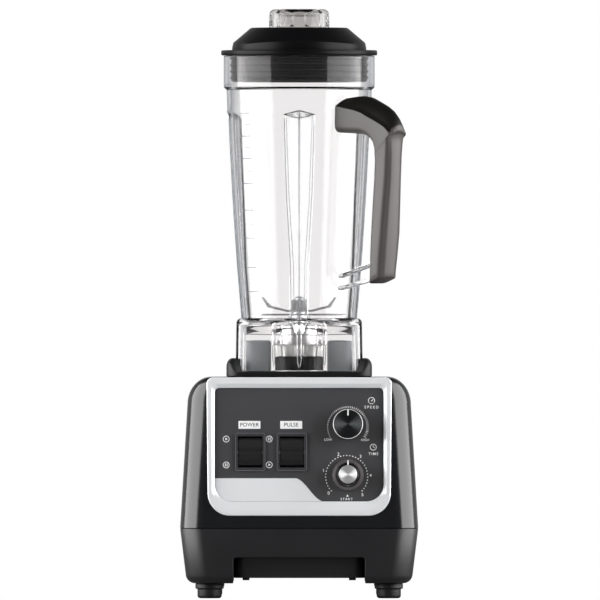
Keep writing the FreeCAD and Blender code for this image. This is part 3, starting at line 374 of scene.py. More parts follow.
CASING_WALL = 3.0
DRIVE_HOLE = 15.5
levels = [seam + (shoulder - seam) * i / 6 for i in range(6)] + shoulder_levels(deck)
outer = [upper_ring(z) for z in levels]
inner_top = deck - CASING_WALL
levels = [seam + (shoulder - seam) * i / 3 for i in range(3)] + shoulder_levels(inner_top)
inner = [upper_ring(z, CASING_WALL) for z in levels]
rings = outer + fan_in(outer[-1], DRIVE_HOLE, deck, (0.3, 0.65, 1.0))
rings += fan_in(inner[-1], DRIVE_HOLE, inner_top, (1.0, 0.5)) + inner[::-1]
casing = build("upper_casing", rings, closed=True)


def panel_point(x, up, out):
    """A point on the leaning front, from its height above the floor and distance out of it."""
    return (SPEED_SPOT + Vector((x - SPEED_SPOT.x, 0, 0)) + UP * ((up - SPEED_SPOT.z) / UP.z)
            + OUT * out)


def panel_rings(corners, steps_out, steps=8):
    """Rings on the front panel: an outline drawn in and raised step by step."""
    return [[panel_point(x, up, out) for x, up in outline(shrink(corners, inset), steps)]
            for inset, out in steps_out]


WINDOW = [(-73.0, 83.9, 15.0), (73.0, 83.9, 15.0), (73.0, 182.0, 4.0), (-73.0, 182.0, 4.0)]
window_cutter = build("window_cutter", panel_rings(WINDOW, ((0, -12), (0, 6))))
vent_low, vent_high = box_mm("rear_vent")
vent_cutter = build("vent_cutter", [[(x, y, z) for x, z in (
    (vent_low.x, vent_low.z), (vent_high.x, vent_low.z), (vent_high.x, vent_high.z),
    (vent_low.x, vent_high.z))] for y in (vent_low.y - 4, vent_high.y + 8)])
casing = carve(casing, [window_cutter, vent_cutter])
casing.name = "upper_casing"
# Mould-polished ABS: near black, with a gloss that mirrors the boxes at the sides.
gloss_black = moulded("gloss_black_abs", "#0A0B0E", "#0D0E12", 0.18, 2.2, 0.015, IOR=1.5)
place(casing, "base", "gloss_casing", gloss_black, ["upper_housing"], crease=8)

# ------------------------------------------------------------------ lower casing
# The bottom half is the same ABS left satin by a spark-eroded mould. It stands on four
# corner legs, with an arch cut between each pair.

legs_low, legs_high = box_mm("lower_housing")
LEG_LEAN = math.tan(math.radians(6.9))


def lower_ring(z, inset=0.0):
    """The lower casing's outline, which narrows towards the floor."""
    side = (legs_high.z - z) * LEG_LEAN + inset
    front = (legs_high.z - z) * FRONT_LEAN + inset
    return casing_ring(z, legs_high.x - side, legs_low.y + front, legs_high.y - side,
                       CASING_CORNER - inset)


EDGE = 7.0
rings = [lower_ring(legs_low.z + EDGE * (1 - math.sin(fall)), EDGE * (1 - math.cos(fall)))
         for fall in (math.radians(15 * i) for i in range(6, -1, -1))]
rings += [lower_ring(legs_high.z - 0.8),
         lower_ring(legs_high.z - 0.2, 0.3), lower_ring(legs_high.z, 0.8)]
legs = build("lower_casing", rings)
ARCH_HALF = 57.0
ARCH_TOP = 35.5


def arch_cutter(name, low, high, along_y):
    """A tunnel with small round top corners, wide open below."""
    corners = [(low, -20, 1), (high, -20, 1), (high, ARCH_TOP, 3), (low, ARCH_TOP, 3)]
    points = outline(corners, 6)
    if along_y:
        return build(name, [[(u, y, v) for u, v in points] for y in (-200, 200)])
    return build(name, [[(x, u, v) for u, v in points] for x in (-200, 200)])


hollow = build("hollow", [lower_ring(ARCH_TOP + CASING_WALL, CASING_WALL),
                          lower_ring(legs_high.z + 2, CASING_WALL)])
intake = build("intake", [[(x, y, z) for x, y in outline([
    (-49, legs_low.y + 22, 6), (49, legs_low.y + 22, 6), (49, legs_high.y - 22, 6),
    (-49, legs_high.y - 22, 6)])] for z in (ARCH_TOP - 2, ARCH_TOP + 6)])
legs = carve(legs, [arch_cutter("front_arch", -ARCH_HALF, ARCH_HALF, True),
                    arch_cutter("side_arch", -66.0, 77.0, False), hollow, intake])
legs.name = "lower_casing"
# Spark-eroded ABS: the same black, scattered to a soft satin.
satin_black = moulded("satin_black_abs", "#101013", "#141417", 0.4, 0.9, 0.25, IOR=1.5)
place(legs, "base", "satin_casing", satin_black, ["lower_housing"], crease=28, bevel=0.9)

# ------------------------------------------------------------------ feet
# Four natural-rubber feet, each a plug with a collar under the leg, its sole worn round.


def lathe(name, profile, count=64, centre=(0, 0)):
    """A mesh turned about an upright axis from a closed (radius, z) profile in millimetres."""
    rings = [[(centre[0] + r * math.cos(2 * math.pi * i / count),
               centre[1] + r * math.sin(2 * math.pi * i / count), z) for i in range(count)]
             for r, z in profile]
    return build(name, rings, closed=True)


def join(name, meshes):
    """Several meshes as one."""
    work = bmesh.new()
    for mesh in meshes:
        work.from_mesh(mesh)
    joined = bpy.data.meshes.new(name)
    work.to_mesh(joined)
    work.free()
    return joined


foot_low, foot_high = box_mm("feet")
FOOT_COLLAR = 12.3
foot_spots = [(x, y) for x in (foot_low.x + FOOT_COLLAR, foot_high.x - FOOT_COLLAR)
              for y in (foot_low.y + FOOT_COLLAR, foot_high.y - FOOT_COLLAR)]
foot_profile = ([(4.6, 6.0), (4.6, 0.6), (5.2, 0.0)]
                + arc(8.0, 2.5, 2.5, -90, 0, 6)
                + [(10.5, 7.6), (10.9, 8.2), (11.8, 8.3), (12.3, 8.9), (12.3, 12.3), (12.0, 12.9),
                   (2.1, 12.9), (2.1, 6.0)])
# Moulded rubber: dull, with hardly a highlight.
rubber = moulded("black_moulded_rubber", "#09090A", "#0E0E0F", 0.5, 1.1, 0.25, IOR=1.4)
feet = join("rubber_feet", [lathe("foot", foot_profile, 48, spot) for spot in foot_spots])
place(feet, "base", "black_rubber", rubber, ["feet"])

# ------------------------------------------------------------------ panel frame
# A die-cast surround in satin silver: a flat outer band, then a bevel that falls to the window.


def coated(name, colour, metallic, roughness, grain_mm, strength):
    """A plated, painted or bare finish of one colour over a fine grain."""
    material, tree = fresh_material(name)
    bump = grain(tree, grain_mm, strength)[2]
    finish_material(tree, add(tree, "ShaderNodeBsdfPrincipled", Base_Color=to_linear(colour),
                              Metallic=metallic, Roughness=roughness, Normal=bump.outputs[0]))
    return material


# Satin plating: pale and even, with a broad soft sheen.
silver = coated("satin_silver_plating", "#EFF1F3", 0.2, 0.3, 0.5, 0.05)
FRAME = [(-78.9, 71.5, 19.5), (78.9, 71.5, 19.5), (80.0, 191.1, 5.5), (-80.0, 191.1, 5.5)]


def between(outer, inner, share):
    """An outline part of the way from one set of corners to another."""
    return [tuple(a + (b - a) * share for a, b in zip(one, two)) for one, two in zip(outer, inner)]


BAND = 0.6
frame_steps = ((0.0, 0.0, 0.02), (0.0, 0.0, 1.9), (0.5, 0.0, 2.45), (0.8, 0.0, 2.5),
               (0.0, BAND, 2.5), (0.0, 0.96, 0.9), (0.0, 1.0, 0.6), (0.0, 1.0, -3.4))
rings = []
for inset, share, out in frame_steps:
    corners = between(FRAME, WINDOW, share)
    if inset:
        corners = shrink(corners, inset)
    rings.append([panel_point(x, up, out) for x, up in outline(corners, 10)])
rings += panel_rings(WINDOW, ((-0.05, -3.4), (-0.05, 0.02)), 10)
surround = build("panel_surround", rings, closed=True)
place(surround, "base", "silver_trim", silver, ["front_frame"], crease=25)

# ------------------------------------------------------------------ fascia
# A flat dark grey moulding set into the surround, with a silver swoosh inlaid at its foot.

# Textured ABS: a flat dark grey that mirrors nothing.
fascia_grey = moulded("dark_grey_fascia", "#39393B", "#404042", 0.5, 0.5, 0.3, IOR=1.5)
FASCIA_FACE = -1.0
fascia = build("control_fascia_plate", panel_rings(shrink(WINDOW, 0.1), (
    (0.0, -3.5), (0.0, FASCIA_FACE - 0.2), (0.2, FASCIA_FACE))))
ROCKER_SPOTS = [(-42.3, 126.7), (-6.3, 126.7)]


def rectangle(x, up, half_width, half_height, radius):
    """The corners of a rounded rectangle on the panel."""
    return [(x - half_width, up - half_height, radius), (x + half_width, up - half_height, radius),
            (x + half_width, up + half_height, radius), (x - half_width, up + half_height, radius)]


switch_cutters = [build("switch_cutter", panel_rings(rectangle(x, up, 12.2, 14.9, 0.5),
                                                     ((0, -8), (0, 6))))
                  for x, up in ROCKER_SPOTS]


def panel_disc(x, up, profile, count=64):
    """A mesh turned about an axis out of the panel, from a (radius, out) profile."""
    rings = []
    for radius, out in profile:
        centre = panel_point(x, up, out)
        rings.append([centre + Vector((1, 0, 0)) * radius * math.cos(2 * math.pi * i / count)
                      + UP * radius * math.sin(2 * math.pi * i / count) for i in range(count)])
    return rings


dial_cutters = [build("dial_cutter", panel_disc(spot.x, spot.z, ((4, -8), (4, 6)), 32))
                for spot in (SPEED_SPOT, TIMER_SPOT)]
fascia = carve(fascia, switch_cutters + dial_cutters)
fascia.name = "control_fascia_plate"
place(fascia, "base", "fascia_grey", fascia_grey, ["control_fascia"], crease=25)

# Silver foil: as pale as the surround and flatter.
inlay_paint = coated("brushed_silver_foil", "#E9EBED", 0.1, 0.4, 0.6, 0.04)


def swoosh():
    """The inlay's outline: a level top that falls away in an S to the fascia's foot."""
    start, end = (-2.8, 104.0), (20.3, 84.1)
    curve = []
    for i in range(25):
        t = i / 24
        eased = 0.5 - 0.5 * math.cos(math.pi * t)
        curve.append((start[0] + (end[0] - start[0]) * t,
                      start[1] + (end[1] - start[1]) * (0.25 * t + 0.75 * eased)))
    foot = arc(-58.4, 98.5, 14.4, 270, 180, 8)
    return curve + [(-20, 84.1)] + foot + [(-72.8, 104.0)]


inlay = build("silver_inlay", [[panel_point(x, up, out) for x, up in swoosh()]
                               for out in (FASCIA_FACE - 0.1, FASCIA_FACE + 0.35)])
place(inlay, "base", "silver_trim", inlay_paint, ["fascia_inlay"], bevel=0.15)

# ------------------------------------------------------------------ printed marks
# The panel's words, numerals and icons are white tampo print, a thin raised film of ink.

# Pad-printed ink: flat white.
white_ink = coated("white_tampo_ink", "#FFFFFF", 0.0, 0.55, 0.4, 0.05)
# Smooth label film: clean white.
label_white = moulded("white_label_film", "#FAFAFA", "#FFFFFF", 0.45, 1.0, 0.05)
PANEL_TURN = Matrix((Vector((1, 0, 0)), UP, OUT)).transposed().to_4x4()
INK = 0.06
FONT_SCALE, BOLDNESS = 1.38, 0.006


def panel_flat(name, outlines, out):
    """Flat printed shapes on the panel, each an (x, up) outline in millimetres."""
    return join(name, [build(name, [[panel_point(x, up, out + lift) for x, up in shape]
                                    for lift in (0, INK)]) for shape in outlines])


def panel_text(words, x, up, height, out, spread=1.0):
    """A word or numeral centred on a point of the panel."""
    curve = bpy.data.curves.new("lettering", "FONT")
    curve.body = words
    curve.size = height * MM * FONT_SCALE
    curve.align_x = "CENTER"
    curve.align_y = "CENTER"
    curve.space_character = spread
    curve.extrude = INK * MM
    curve.offset = BOLDNESS * height * MM
    holder = bpy.data.objects.new("lettering", curve)
    bpy.context.collection.objects.link(holder)
    bpy.context.view_layer.update()
    mesh = bpy.data.meshes.new_from_object(
        holder.evaluated_get(bpy.context.evaluated_depsgraph_get()))
    bpy.data.objects.remove(holder)
    mesh.transform(Matrix.Translation(panel_point(x, up, out) * MM) @ PANEL_TURN)
    return mesh


def ribbon(points, width):
    """A thin outline that follows a line of points."""
    left, right = [], []
    for i, (x, y) in enumerate(points):
        before = Vector(points[max(i - 1, 0)])
        after = Vector(points[min(i + 1, len(points) - 1)])
        side = (after - before).normalized().orthogonal() * width / 2
        left.append((x + side.x, y + side.y))
        right.append((x - side.x, y - side.y))
    return left + right[::-1]


def annulus(x, up, radius, width, start=0, end=359):
    """A thin ring, or part of one."""
    return ribbon(arc(x, up, radius, start, end, 40), width)


INK_OUT = FASCIA_FACE
speed_x, speed_up = SPEED_SPOT.x, SPEED_SPOT.z
timer_x, timer_up = TIMER_SPOT.x, TIMER_SPOT.z
marks = []
TICKS = 41
for i in range(TICKS):
    share = i / (TICKS - 1)
    angle = math.radians(209 - 239 * share)
    marks.append(ribbon([(speed_x + r * math.cos(angle), speed_up - 1.9 + r * math.sin(angle))
                         for r in (17.3 - 1.7 * share, 18.1)], 0.48))
NUMERALS = (("0", 25.4, 91.1), ("1", 21.0, 110.6), ("2", 33.9, 124.6), ("3", 53.0, 122.8),
            ("4", 61.7, 106.3), ("5", 54.7, 89.7))
DOTS, DOT_RING = 33, 18.2
for i in range(DOTS):
    angle = math.radians(223 - 266 * i / (DOTS - 1))
    marks.append(arc(timer_x - 1.1 + DOT_RING * math.cos(angle),
                     timer_up - 1.2 + DOT_RING * math.sin(angle), 0.5, 0, 324, 9))
marks.append([(timer_x - 1.5, 88.2), (timer_x + 0.6, 88.2), (timer_x - 0.45, 90.0)])
marks.append(annulus(62.5, 171.1, 2.7, 0.5, -40, 220))
marks.append(ribbon([(62.3, 170.6), (63.9, 172.2)], 0.6))
marks.append(ribbon([(60.9, 168.5), (64.1, 168.5)], 0.5))
marks.append(annulus(64.0, 130.9, 2.6, 0.5))
marks.append(ribbon([(64.0, 132.7), (64.0, 130.9), (65.4, 130.4)], 0.45))
for x, up, kind in ((-63.1, 137.9, "play"), (-63.1, 115.5, "pause"), (-25.9, 137.9, "pause"),
                    (-25.9, 115.6, "play")):
    marks.append(annulus(x, up, 2.6, 0.5))
    if kind == "play":
        marks.append([(x - 0.7, up - 1.2), (x + 1.3, up), (x - 0.7, up + 1.2)])
    else:
        for side in (-0.75, 0.75):
            marks.append(ribbon([(x + side, up - 1.3), (x + side, up + 1.3)], 0.6))
WORDS = (("SPEED", 62.5, 165.3, 2.4, 1.5), ("TIME", 64.2, 125.0, 2.4, 1.3),
         ("LOW", 25.0, 137.3, 2.0, 1.1), ("HIGH", 57.0, 137.0, 2.0, 1.1),
         ("START", 41.0, 85.9, 2.1, 1.35))
letters = [panel_text(word, x, up, high, INK_OUT, spread) for word, x, up, high, spread in WORDS]
letters += [panel_text(numeral, x, up, 2.8, INK_OUT) for numeral, x, up in NUMERALS]
print_ = join("panel_print", [panel_flat("mark", marks, INK_OUT)] + letters)
place(print_, "base", "silver_trim", white_ink)

LABELS = [(-43.0, 150.1, "POWER"), (-6.9, 150.1, "PULSE")]
plates = join("switch_labels", [build("label", panel_rings(rectangle(x, up, 9.5, 3.4, 0.5), (
    (0.0, FASCIA_FACE - 0.05), (0.0, FASCIA_FACE + 0.2), (0.12, FASCIA_FACE + 0.3))))
    for x, up, words in LABELS])
place(plates, "base", "silver_trim", label_white)
# Label ink: flat black.
black_ink = moulded("black_label_ink", "#151515", "#1A1A1A", 0.5, 1.0, 0.05)
words = join("label_words", [panel_text(text, x, up, 3.3, FASCIA_FACE + 0.27, 1.05)
                             for x, up, text in LABELS])
place(words, "base", "bezel_black", black_ink)

# ------------------------------------------------------------------ rocker switches
# Two snap-in mains rocker switches: a satin black bezel round a glossy saddle-shaped key.

# Glass-filled nylon for the bezels, dull; polished nylon for the keys, which shines; a pale grey
# ring on each bezel's rim is a painted highlight.
bezel_black = moulded("satin_black_nylon", "#323235", "#38383B", 0.4, 0.8, 0.15)
rocker_black = moulded("polished_black_key", "#1C1C1D", "#222223", 0.18, 3.0, 0.01)
# Painted highlight: a pale grey for the bezel's rim, standing in for the light its edge catches.
bezel_edge_painted_highlight = moulded("nylon_edge_painted_highlight", "#66666A", "#707074", 0.4, 0.8, 0.1)
for name, (x, up) in zip(("power", "pulse"), ROCKER_SPOTS):
    inside = rectangle(x, up, 10.75, 13.45, 0.8)
    outside = rectangle(x, up, 13.0, 16.4, 2.0)
    rings = panel_rings(outside, ((0.0, FASCIA_FACE + 0.05), (0.0, 0.1), (0.35, 0.5), (0.9, 0.62)))
    rings += panel_rings(inside, ((-0.6, 0.62), (-0.15, 0.45), (0.0, 0.0), (0.0, -16.5)))
    rings += panel_rings(rectangle(x, up, 12.1, 14.8, 0.8), ((0.0, -16.5), (0.0, FASCIA_FACE)))
    bezel = build(name + "_bezel", rings, closed=True)
    place(bezel, "base", "bezel_black", bezel_black, [name + "_switch"], crease=30)
    # The bezel's rim in pale grey: a painted highlight along its edge.
    edge = panel_rings(outside, ((0.05, 0.1), (0.05, 0.75), (0.5, 0.75)))
    edge = build(name + "_bezel_edge_painted_highlight", edge + panel_rings(outside, ((0.5, 0.1),)), closed=True)
    place(edge, "base", "bezel_black", bezel_edge_painted_highlight)
    pivot = Vector(HINGES[name + "_rock"]["pos_m"]) / MM
    half_high = 12.3
    profile = [(-4, -5.8), (4, -5.8), (11.2, 1.0), (11.8, 6.6)]
    profile += [(half_high - 0.9 - 0.9 * i / 4, 7.4 + 0.9 * math.sin(math.radians(22.5 * i)))
                for i in range(1, 5)]
    profile += [(10.9 - 9.7 * i / 12, 8.1 - 1.7 * math.sin(math.radians(90 * i / 12)))
                for i in range(1, 13)]
    profile += [(1.0, 6.55), (0.7, 6.75), (0.2, 6.8), (-0.4, 6.7)]
    profile += [(-0.4 - 10.4 * i / 12, 6.7 - 0.5 * math.sin(math.radians(180 * i / 12))
                 + 1.3 * (i / 12) ** 3) for i in range(1, 13)]
    profile += [(-(half_high - 0.9 - 0.9 * i / 4), 7.4 + 0.9 * math.sin(math.radians(22.5 * i)))
                for i in range(4, 0, -1)]
    profile += [(-11.8, 6.6), (-11.2, 1.0)]
    rings = [[pivot + Vector((1, 0, 0)) * side + UP * v * shrinking + OUT * w for v, w in profile]
             for side, shrinking in ((-10.15, 0.985), (-9.8, 1.0), (9.8, 1.0), (10.15, 0.985))]
    key = build(name + "_key", rings)
    place(key, name + "_button", "rocker_gloss", rocker_black, [name + "_rocker"], crease=25)

# ------------------------------------------------------------------ dials
# Each dial is a turned cap on a moulded skirt. Lathe marks in the metal run round its face,
# so that its highlights draw out into radial streaks.


def spun(name, colour, metallic, roughness, centre):
    """Lathe-turned metal: fine rings about the dial's own axis."""
    material, tree = fresh_material(name)
    place_node = add(tree, "ShaderNodeTexCoord")
    middle = add(tree, "ShaderNodeMapping", Vector=place_node.outputs["Object"])
    middle.inputs["Location"].default_value = [-c * MM for c in centre]
    wave = add(tree, "ShaderNodeTexWave", {"wave_type": "RINGS", "rings_direction": "SPHERICAL"},
               Vector=middle.outputs[0], Scale=1 / (6.0 * MM), Distortion=0.6, Detail=2.0)
    bump = add(tree, "ShaderNodeBump", Strength=0.35, Distance=0.05 * MM, Height=wave.outputs[1])
    shader = add(tree, "ShaderNodeBsdfPrincipled", Base_Color=to_linear(colour), Metallic=metallic,
                 Roughness=roughness, Normal=bump.outputs[0], Anisotropic=0.95,
                 Anisotropic_Rotation=0.25)
    tangent = add(tree, "ShaderNodeTangent", {"direction_type": "RADIAL", "axis": "Y"})
    tree.links.new(tangent.outputs[0], shader.inputs["Tangent"])
    finish_material(tree, shader)
    return material


def pointer(x, low, high, out, width=1.1):
    """A white line laid in a dial's face, between two heights."""
    return build("pointer", [[panel_point(u, v, out + lift) for u, v in
                              ((x - width / 2, low), (x + width / 2, low),
                               (x + width / 2, high), (x - width / 2, high))]
                             for lift in (-0.05, 0.12)])


# Knob ABS: black, with a moderate gloss.
knob_black = moulded("black_knob_abs", "#0B0B0C", "#0E0E10", 0.22, 2.0, 0.03)
speed_skirt = build("speed_dial_skirt", panel_disc(speed_x, speed_up, (
    (3.1, 0.0), (12.7, 0.0), (13.1, 0.4), (13.1, 6.0), (13.0, 13.0), (12.8, 13.6), (12.2, 13.8),
    (3.1, 13.8)), 96), closed=True)
place(speed_skirt, "speed_dial", "knob_black", knob_black, ["speed_knob"])
speed_ring = build("speed_dial_ring", panel_disc(speed_x, speed_up, (
    (12.45, 13.7), (12.95, 13.7), (12.95, 14.1), (12.8, 14.3), (12.6, 14.3), (12.45, 14.2)), 96),
    closed=True)
# Lacquer over silver: a thin line, bright all round.
chrome = coated("bright_silver_lacquer", "#F0F0F0", 0.2, 0.2, 3.0, 0.01)
place(speed_ring, "speed_dial", "spun_silver", chrome)
speed_face = build("speed_dial_face", panel_disc(speed_x, speed_up, (
    (0.05, 13.75), (12.5, 13.75), (12.5, 14.1), (0.05, 14.15)), 96))
place(speed_face, "speed_dial", "spun_black",
      spun("spun_black_anodised", "#4A4D4E", 1.0, 0.5, SPEED_SPOT), ["speed_knob_disc"])
place(pointer(speed_x, speed_up + 7.4, speed_up + 12.4, 14.2), "speed_dial",
      "silver_trim", white_ink)

# Smoke-grey acrylic: glossy, a little lighter than the panel.
smoke = moulded("smoke_grey_acrylic", "#4E4A4B", "#5A5657", 0.1, 4.0, 0.02, IOR=1.55)
FLUTES = 18
skirt_rings = []
for radius, out in ((3.1, 0.0), (13.4, 0.0), (13.8, 0.5), (13.7, 1.6), (12.9, 2.6),
                    (11.3, 4.2), (10.9, 5.0), (10.7, 5.2)):
    centre = panel_point(timer_x, timer_up, out)
    ring = []
    for i in range(FLUTES * 6):
        angle = 2 * math.pi * i / (FLUTES * 6)
        dent = 0.25 * (1 - math.cos(FLUTES * angle)) / 2 if radius > 13 else 0
        reach = radius - dent
        ring.append(centre + Vector((1, 0, 0)) * reach * math.cos(angle)
                    + UP * reach * math.sin(angle))
    skirt_rings.append(ring)
skirt_rings += panel_disc(timer_x, timer_up, ((3.1, 5.2),), FLUTES * 6)
timer_skirt = build("timer_dial_skirt", skirt_rings, closed=True)
place(timer_skirt, "timer_dial", "knob_smoke", smoke, ["timer_knob"])
timer_barrel = build("timer_dial_barrel", panel_disc(timer_x, timer_up, (
    (3.1, 5.2), (10.9, 5.2), (10.7, 9.0), (10.0, 12.4), (9.2, 13.7), (8.6, 14.0), (8.0, 14.0),
    (8.0, 13.4),
    (3.1, 13.4)), 96), closed=True)
place(timer_barrel, "timer_dial", "knob_black", knob_black)
timer_face = build("timer_dial_face", panel_disc(timer_x, timer_up, (
    (0.05, 13.4), (7.95, 13.4), (7.95, 13.9), (7.6, 14.2), (0.05, 14.25)), 96))
place(timer_face, "timer_dial", "spun_silver",
      spun("spun_aluminium", "#F4F4F4", 0.8, 0.55, TIMER_SPOT), ["timer_knob_disc"])
place(pointer(timer_x, timer_up + 8.2, timer_up + 12.2, 14.0), "timer_dial",
      "silver_trim", white_ink)

# ------------------------------------------------------------------ jar pad
# A thick moulded rubber mat on the deck. Raised ears hold the jar's four corners, posts reach
# up inside its skirt, and a collar surrounds the drive socket.

pad_high = box_mm("jar_pad")[1]
pad_half = pad_high.x
JAR_FOOT = box_mm("jar")[0].z
EAR_TOP = deck + 16.2


def square_radius(angle, half, corner):
    """Distance from the centre to a rounded square's edge, at an angle."""
    c, s = abs(math.cos(angle)), abs(math.sin(angle))
    if c < s:
        c, s = s, c
    flat = half / c
    if flat * s <= half - corner:
        return flat
    middle = half - corner
    along = middle * (c + s)
    return along + math.sqrt(max(0.0, along ** 2 - 2 * middle ** 2 + corner ** 2))


def square_ring(half, corner, height, count=160):
    """A rounded square about the drive axis; height may follow the angle."""
    ring = []
    for i in range(count):
        angle = 2 * math.pi * (i + 0.5) / count
        reach = square_radius(angle, half, corner)
        level = height(angle) if callable(height) else height
        ring.append((reach * math.cos(angle), reach * math.sin(angle), level))
    return ring


def ear_share(angle):
    """1 along the ears on the two sides, 0 elsewhere, with a short steep slope between."""
    reach = square_radius(angle, pad_half, 12)
    x, y = abs(reach * math.cos(angle)), abs(reach * math.sin(angle))
    return min(max((y - 35.0) / 3.5, 0.0), 1.0) * min(max((x - 57.0) / 2.0, 0.0), 1.0)


def ear_height(low, high):
    """A height that climbs from low to high along the ears."""
    return lambda angle: low + (high - low) * ear_share(angle)


mat_top = JAR_FOOT - 0.05
rings = [square_ring(pad_half - 1.0, 11, deck + 0.02), square_ring(pad_half, 12, deck + 1.0),
         square_ring(pad_half, 12, ear_height(mat_top - 0.8, deck + 9.0))]
for angle in range(15, 91, 15):
    fall = math.radians(angle)
    rings.append(square_ring(pad_half - 5.0 * (1 - math.cos(fall)), 12,
                             ear_height(mat_top - 0.6, deck + 9.0 + 7.2 * math.sin(fall))))
rings += [square_ring(pad_half - 6.6, 11, ear_height(mat_top - 0.2, EAR_TOP - 0.4)),
          square_ring(pad_half - 7.0, 11, ear_height(mat_top - 0.05, EAR_TOP - 1.2)),
          square_ring(pad_half - 7.3, 11, mat_top)]
last = rings[-1]
rings += fan_in(last, 21.0, mat_top, (0.5, 1.0)) + fan_in(last, 21.0, deck + 17.4)
rings += fan_in(last, 20.3, deck + 18.1) + fan_in(last, 16.2, deck + 18.1)
rings += fan_in(last, 15.6, deck + 17.5) + fan_in(last, 15.6, deck + 0.02)
mat = build("jar_pad_mat", rings, closed=True)
POST_IN, POST_OUT = 24.4, 45.7
posts = []
for turn in range(4):
    spin = Matrix.Rotation(turn * math.pi / 2, 3, "Z")
    corners = [(POST_IN, POST_IN, 3), (POST_OUT, POST_IN, 3), (POST_OUT, POST_OUT, 6),
               (POST_IN, POST_OUT, 3)]
    rings = []
    for inset, drop in ((0, None), (0, 2.0), (0.4, 0.8), (1.4, 0.0)):
        ring = []
        for x, y in outline(shrink(corners, inset), 5):
            slope = 4.2 * (1 - (max(x, y) - POST_IN) / (POST_OUT - POST_IN))
            z = mat_top - 0.5 if drop is None else pad_high.z - drop - slope
            ring.append(spin @ Vector((x, y, z)))
        rings.append(ring)
    posts.append(build("post", rings))
place(mat, "base", "black_rubber", rubber, ["jar_pad"], crease=35)
# Rubber with a pale bloom: mid grey and dull.
post_rubber = moulded("bloomed_grey_rubber", "#7D8083", "#85888B", 0.6, 1.1, 0.3, IOR=1.52)
place(join("jar_pad_posts", posts), "base", "black_rubber", post_rubber, crease=35)

# ------------------------------------------------------------------ jar
# Injection-moulded clear copolyester: a round tapering wall with four V-shaped baffles folded
# in, a square skirt that drops over the pad, a pouring lip, and a ribbed arm for the handle.

WALL = 3.0
WALL_LINE = ((31.0, 46.5), (36.0, 48.8), (41.0, 49.8), (48.6, 50.5), (100.0, 54.8), (150.0, 58.5),
             (200.0, 61.4), (225.0, 62.5), (244.0, 63.1))
BAFFLE_HALF = ((31.6, 0.5), (34.0, 4.0), (42.0, 7.0), (90.0, 7.5), (118.0, 9.0), (152.0, 11.0),
               (219.2, 13.0), (222.3, 13.0), (225.6, 0.6))
BAFFLE_DEEP = ((31.6, 0.0), (36.0, 3.2), (44.0, 4.3), (90.0, 4.6), (118.0, 5.6), (152.0, 6.8),
               (219.2, 7.8), (222.3, 4.0), (225.6, 0.0))


def read(table, height):
    """A value read off a table of (height, value) by straight lines."""
    if height <= table[0][0]:
        return table[0][1]
    for (h0, v0), (h1, v1) in zip(table, table[1:]):
        if height <= h1:
            return v0 + (v1 - v0) * (height - h0) / (h1 - h0)
    return table[-1][1]


FOLD = (-1.0, -0.75, -0.5, -0.25, -0.07, 0.0, 0.07, 0.25, 0.5, 0.75)
ARC_STEPS = 26
LIP_ANGLE = math.radians(135)
LIP_HALF = math.radians(24)


def jar_ring(height, radius, half=0.0, deep=0.0, lip=0.0):
    """The jar's wall at a height, with the same points at every height."""
    ring = []
    spread = max(half, 2.5)
    edge = math.sqrt(radius ** 2 - spread ** 2)
    start = math.asin(spread / radius)
    for quarter in range(4):
        turn = quarter * math.pi / 2
        local = []
        for share in FOLD:
            across = share * spread
            if half > 0:
                flank = 1 - abs(share)
                along = edge - deep * min(flank, 0.96)
            else:
                along = math.sqrt(radius ** 2 - across ** 2)
            local.append((along, across))
        for i in range(ARC_STEPS):
            angle = start + (math.pi / 2 - 2 * start) * i / ARC_STEPS
            local.append((radius * math.cos(angle), radius * math.sin(angle)))
        for x, y in local:
            angle = math.atan2(y, x) + turn
            reach = math.hypot(x, y)
            away = abs((angle - LIP_ANGLE + math.pi) % (2 * math.pi) - math.pi)
            if lip and away < LIP_HALF:
                reach += lip * (0.5 + 0.5 * math.cos(math.pi * away / LIP_HALF)) ** 0.8
            ring.append((reach * math.cos(angle), reach * math.sin(angle), JAR_FOOT + height))
    return ring


def lip_at(height):
    """How far the pouring lip reaches out at a height."""
    share = (height - 250.0) / 23.6
    return 12.2 * max(share, 0.0) ** 1.5


heights = [31.6, 34.0, 36.0, 39.0, 42.0, 45.0, 48.6, 56.0, 66.0, 78.0, 90.0, 104.0, 118.0, 135.0,
           152.0, 170.0, 188.0, 204.0, 219.2, 222.3, 225.6, 232.0, 240.0, 244.0]
collar = [(244.6, 63.5), (245.4, 64.6), (246.4, 65.4), (248.0, 65.6), (252.0, 65.6), (258.0, 65.6),
          (264.0, 65.6), (269.0, 65.6), (272.9, 65.6), (273.4, 65.3), (273.6, 64.8)]
rings = [jar_ring(22.9, 14.2), jar_ring(22.9, 23.4), jar_ring(23.5, 24.0), jar_ring(30.5, 24.0),
         jar_ring(30.8, 26.0), jar_ring(31.0, 44.0)]
rings += [jar_ring(h, read(WALL_LINE, h), read(BAFFLE_HALF, h), read(BAFFLE_DEEP, h))
          for h in heights]
rings += [jar_ring(h, r, lip=lip_at(h)) for h, r in collar]
rings += [jar_ring(273.6, 63.4, lip=lip_at(273.6)), jar_ring(273.2, 62.8, lip=lip_at(273.6))]
rings += [jar_ring(h, r - WALL, lip=lip_at(h)) for h, r in collar[-3::-1] if h < 272]
for h in heights[::-1]:
    if h < 44:
        continue
    rings.append(jar_ring(h, read(WALL_LINE, h) - WALL, read(BAFFLE_HALF, h) + 1.2,
                          read(BAFFLE_DEEP, h) + 0.2))
rings += [jar_ring(41.5, 44.2, 7.0, 2.6), jar_ring(40.2, 41.0, 6.0, 1.0), jar_ring(39.6, 36.0),
          jar_ring(39.6, 24.0), jar_ring(39.6, 14.2)]
wall = build("jar_wall", rings, closed=True)

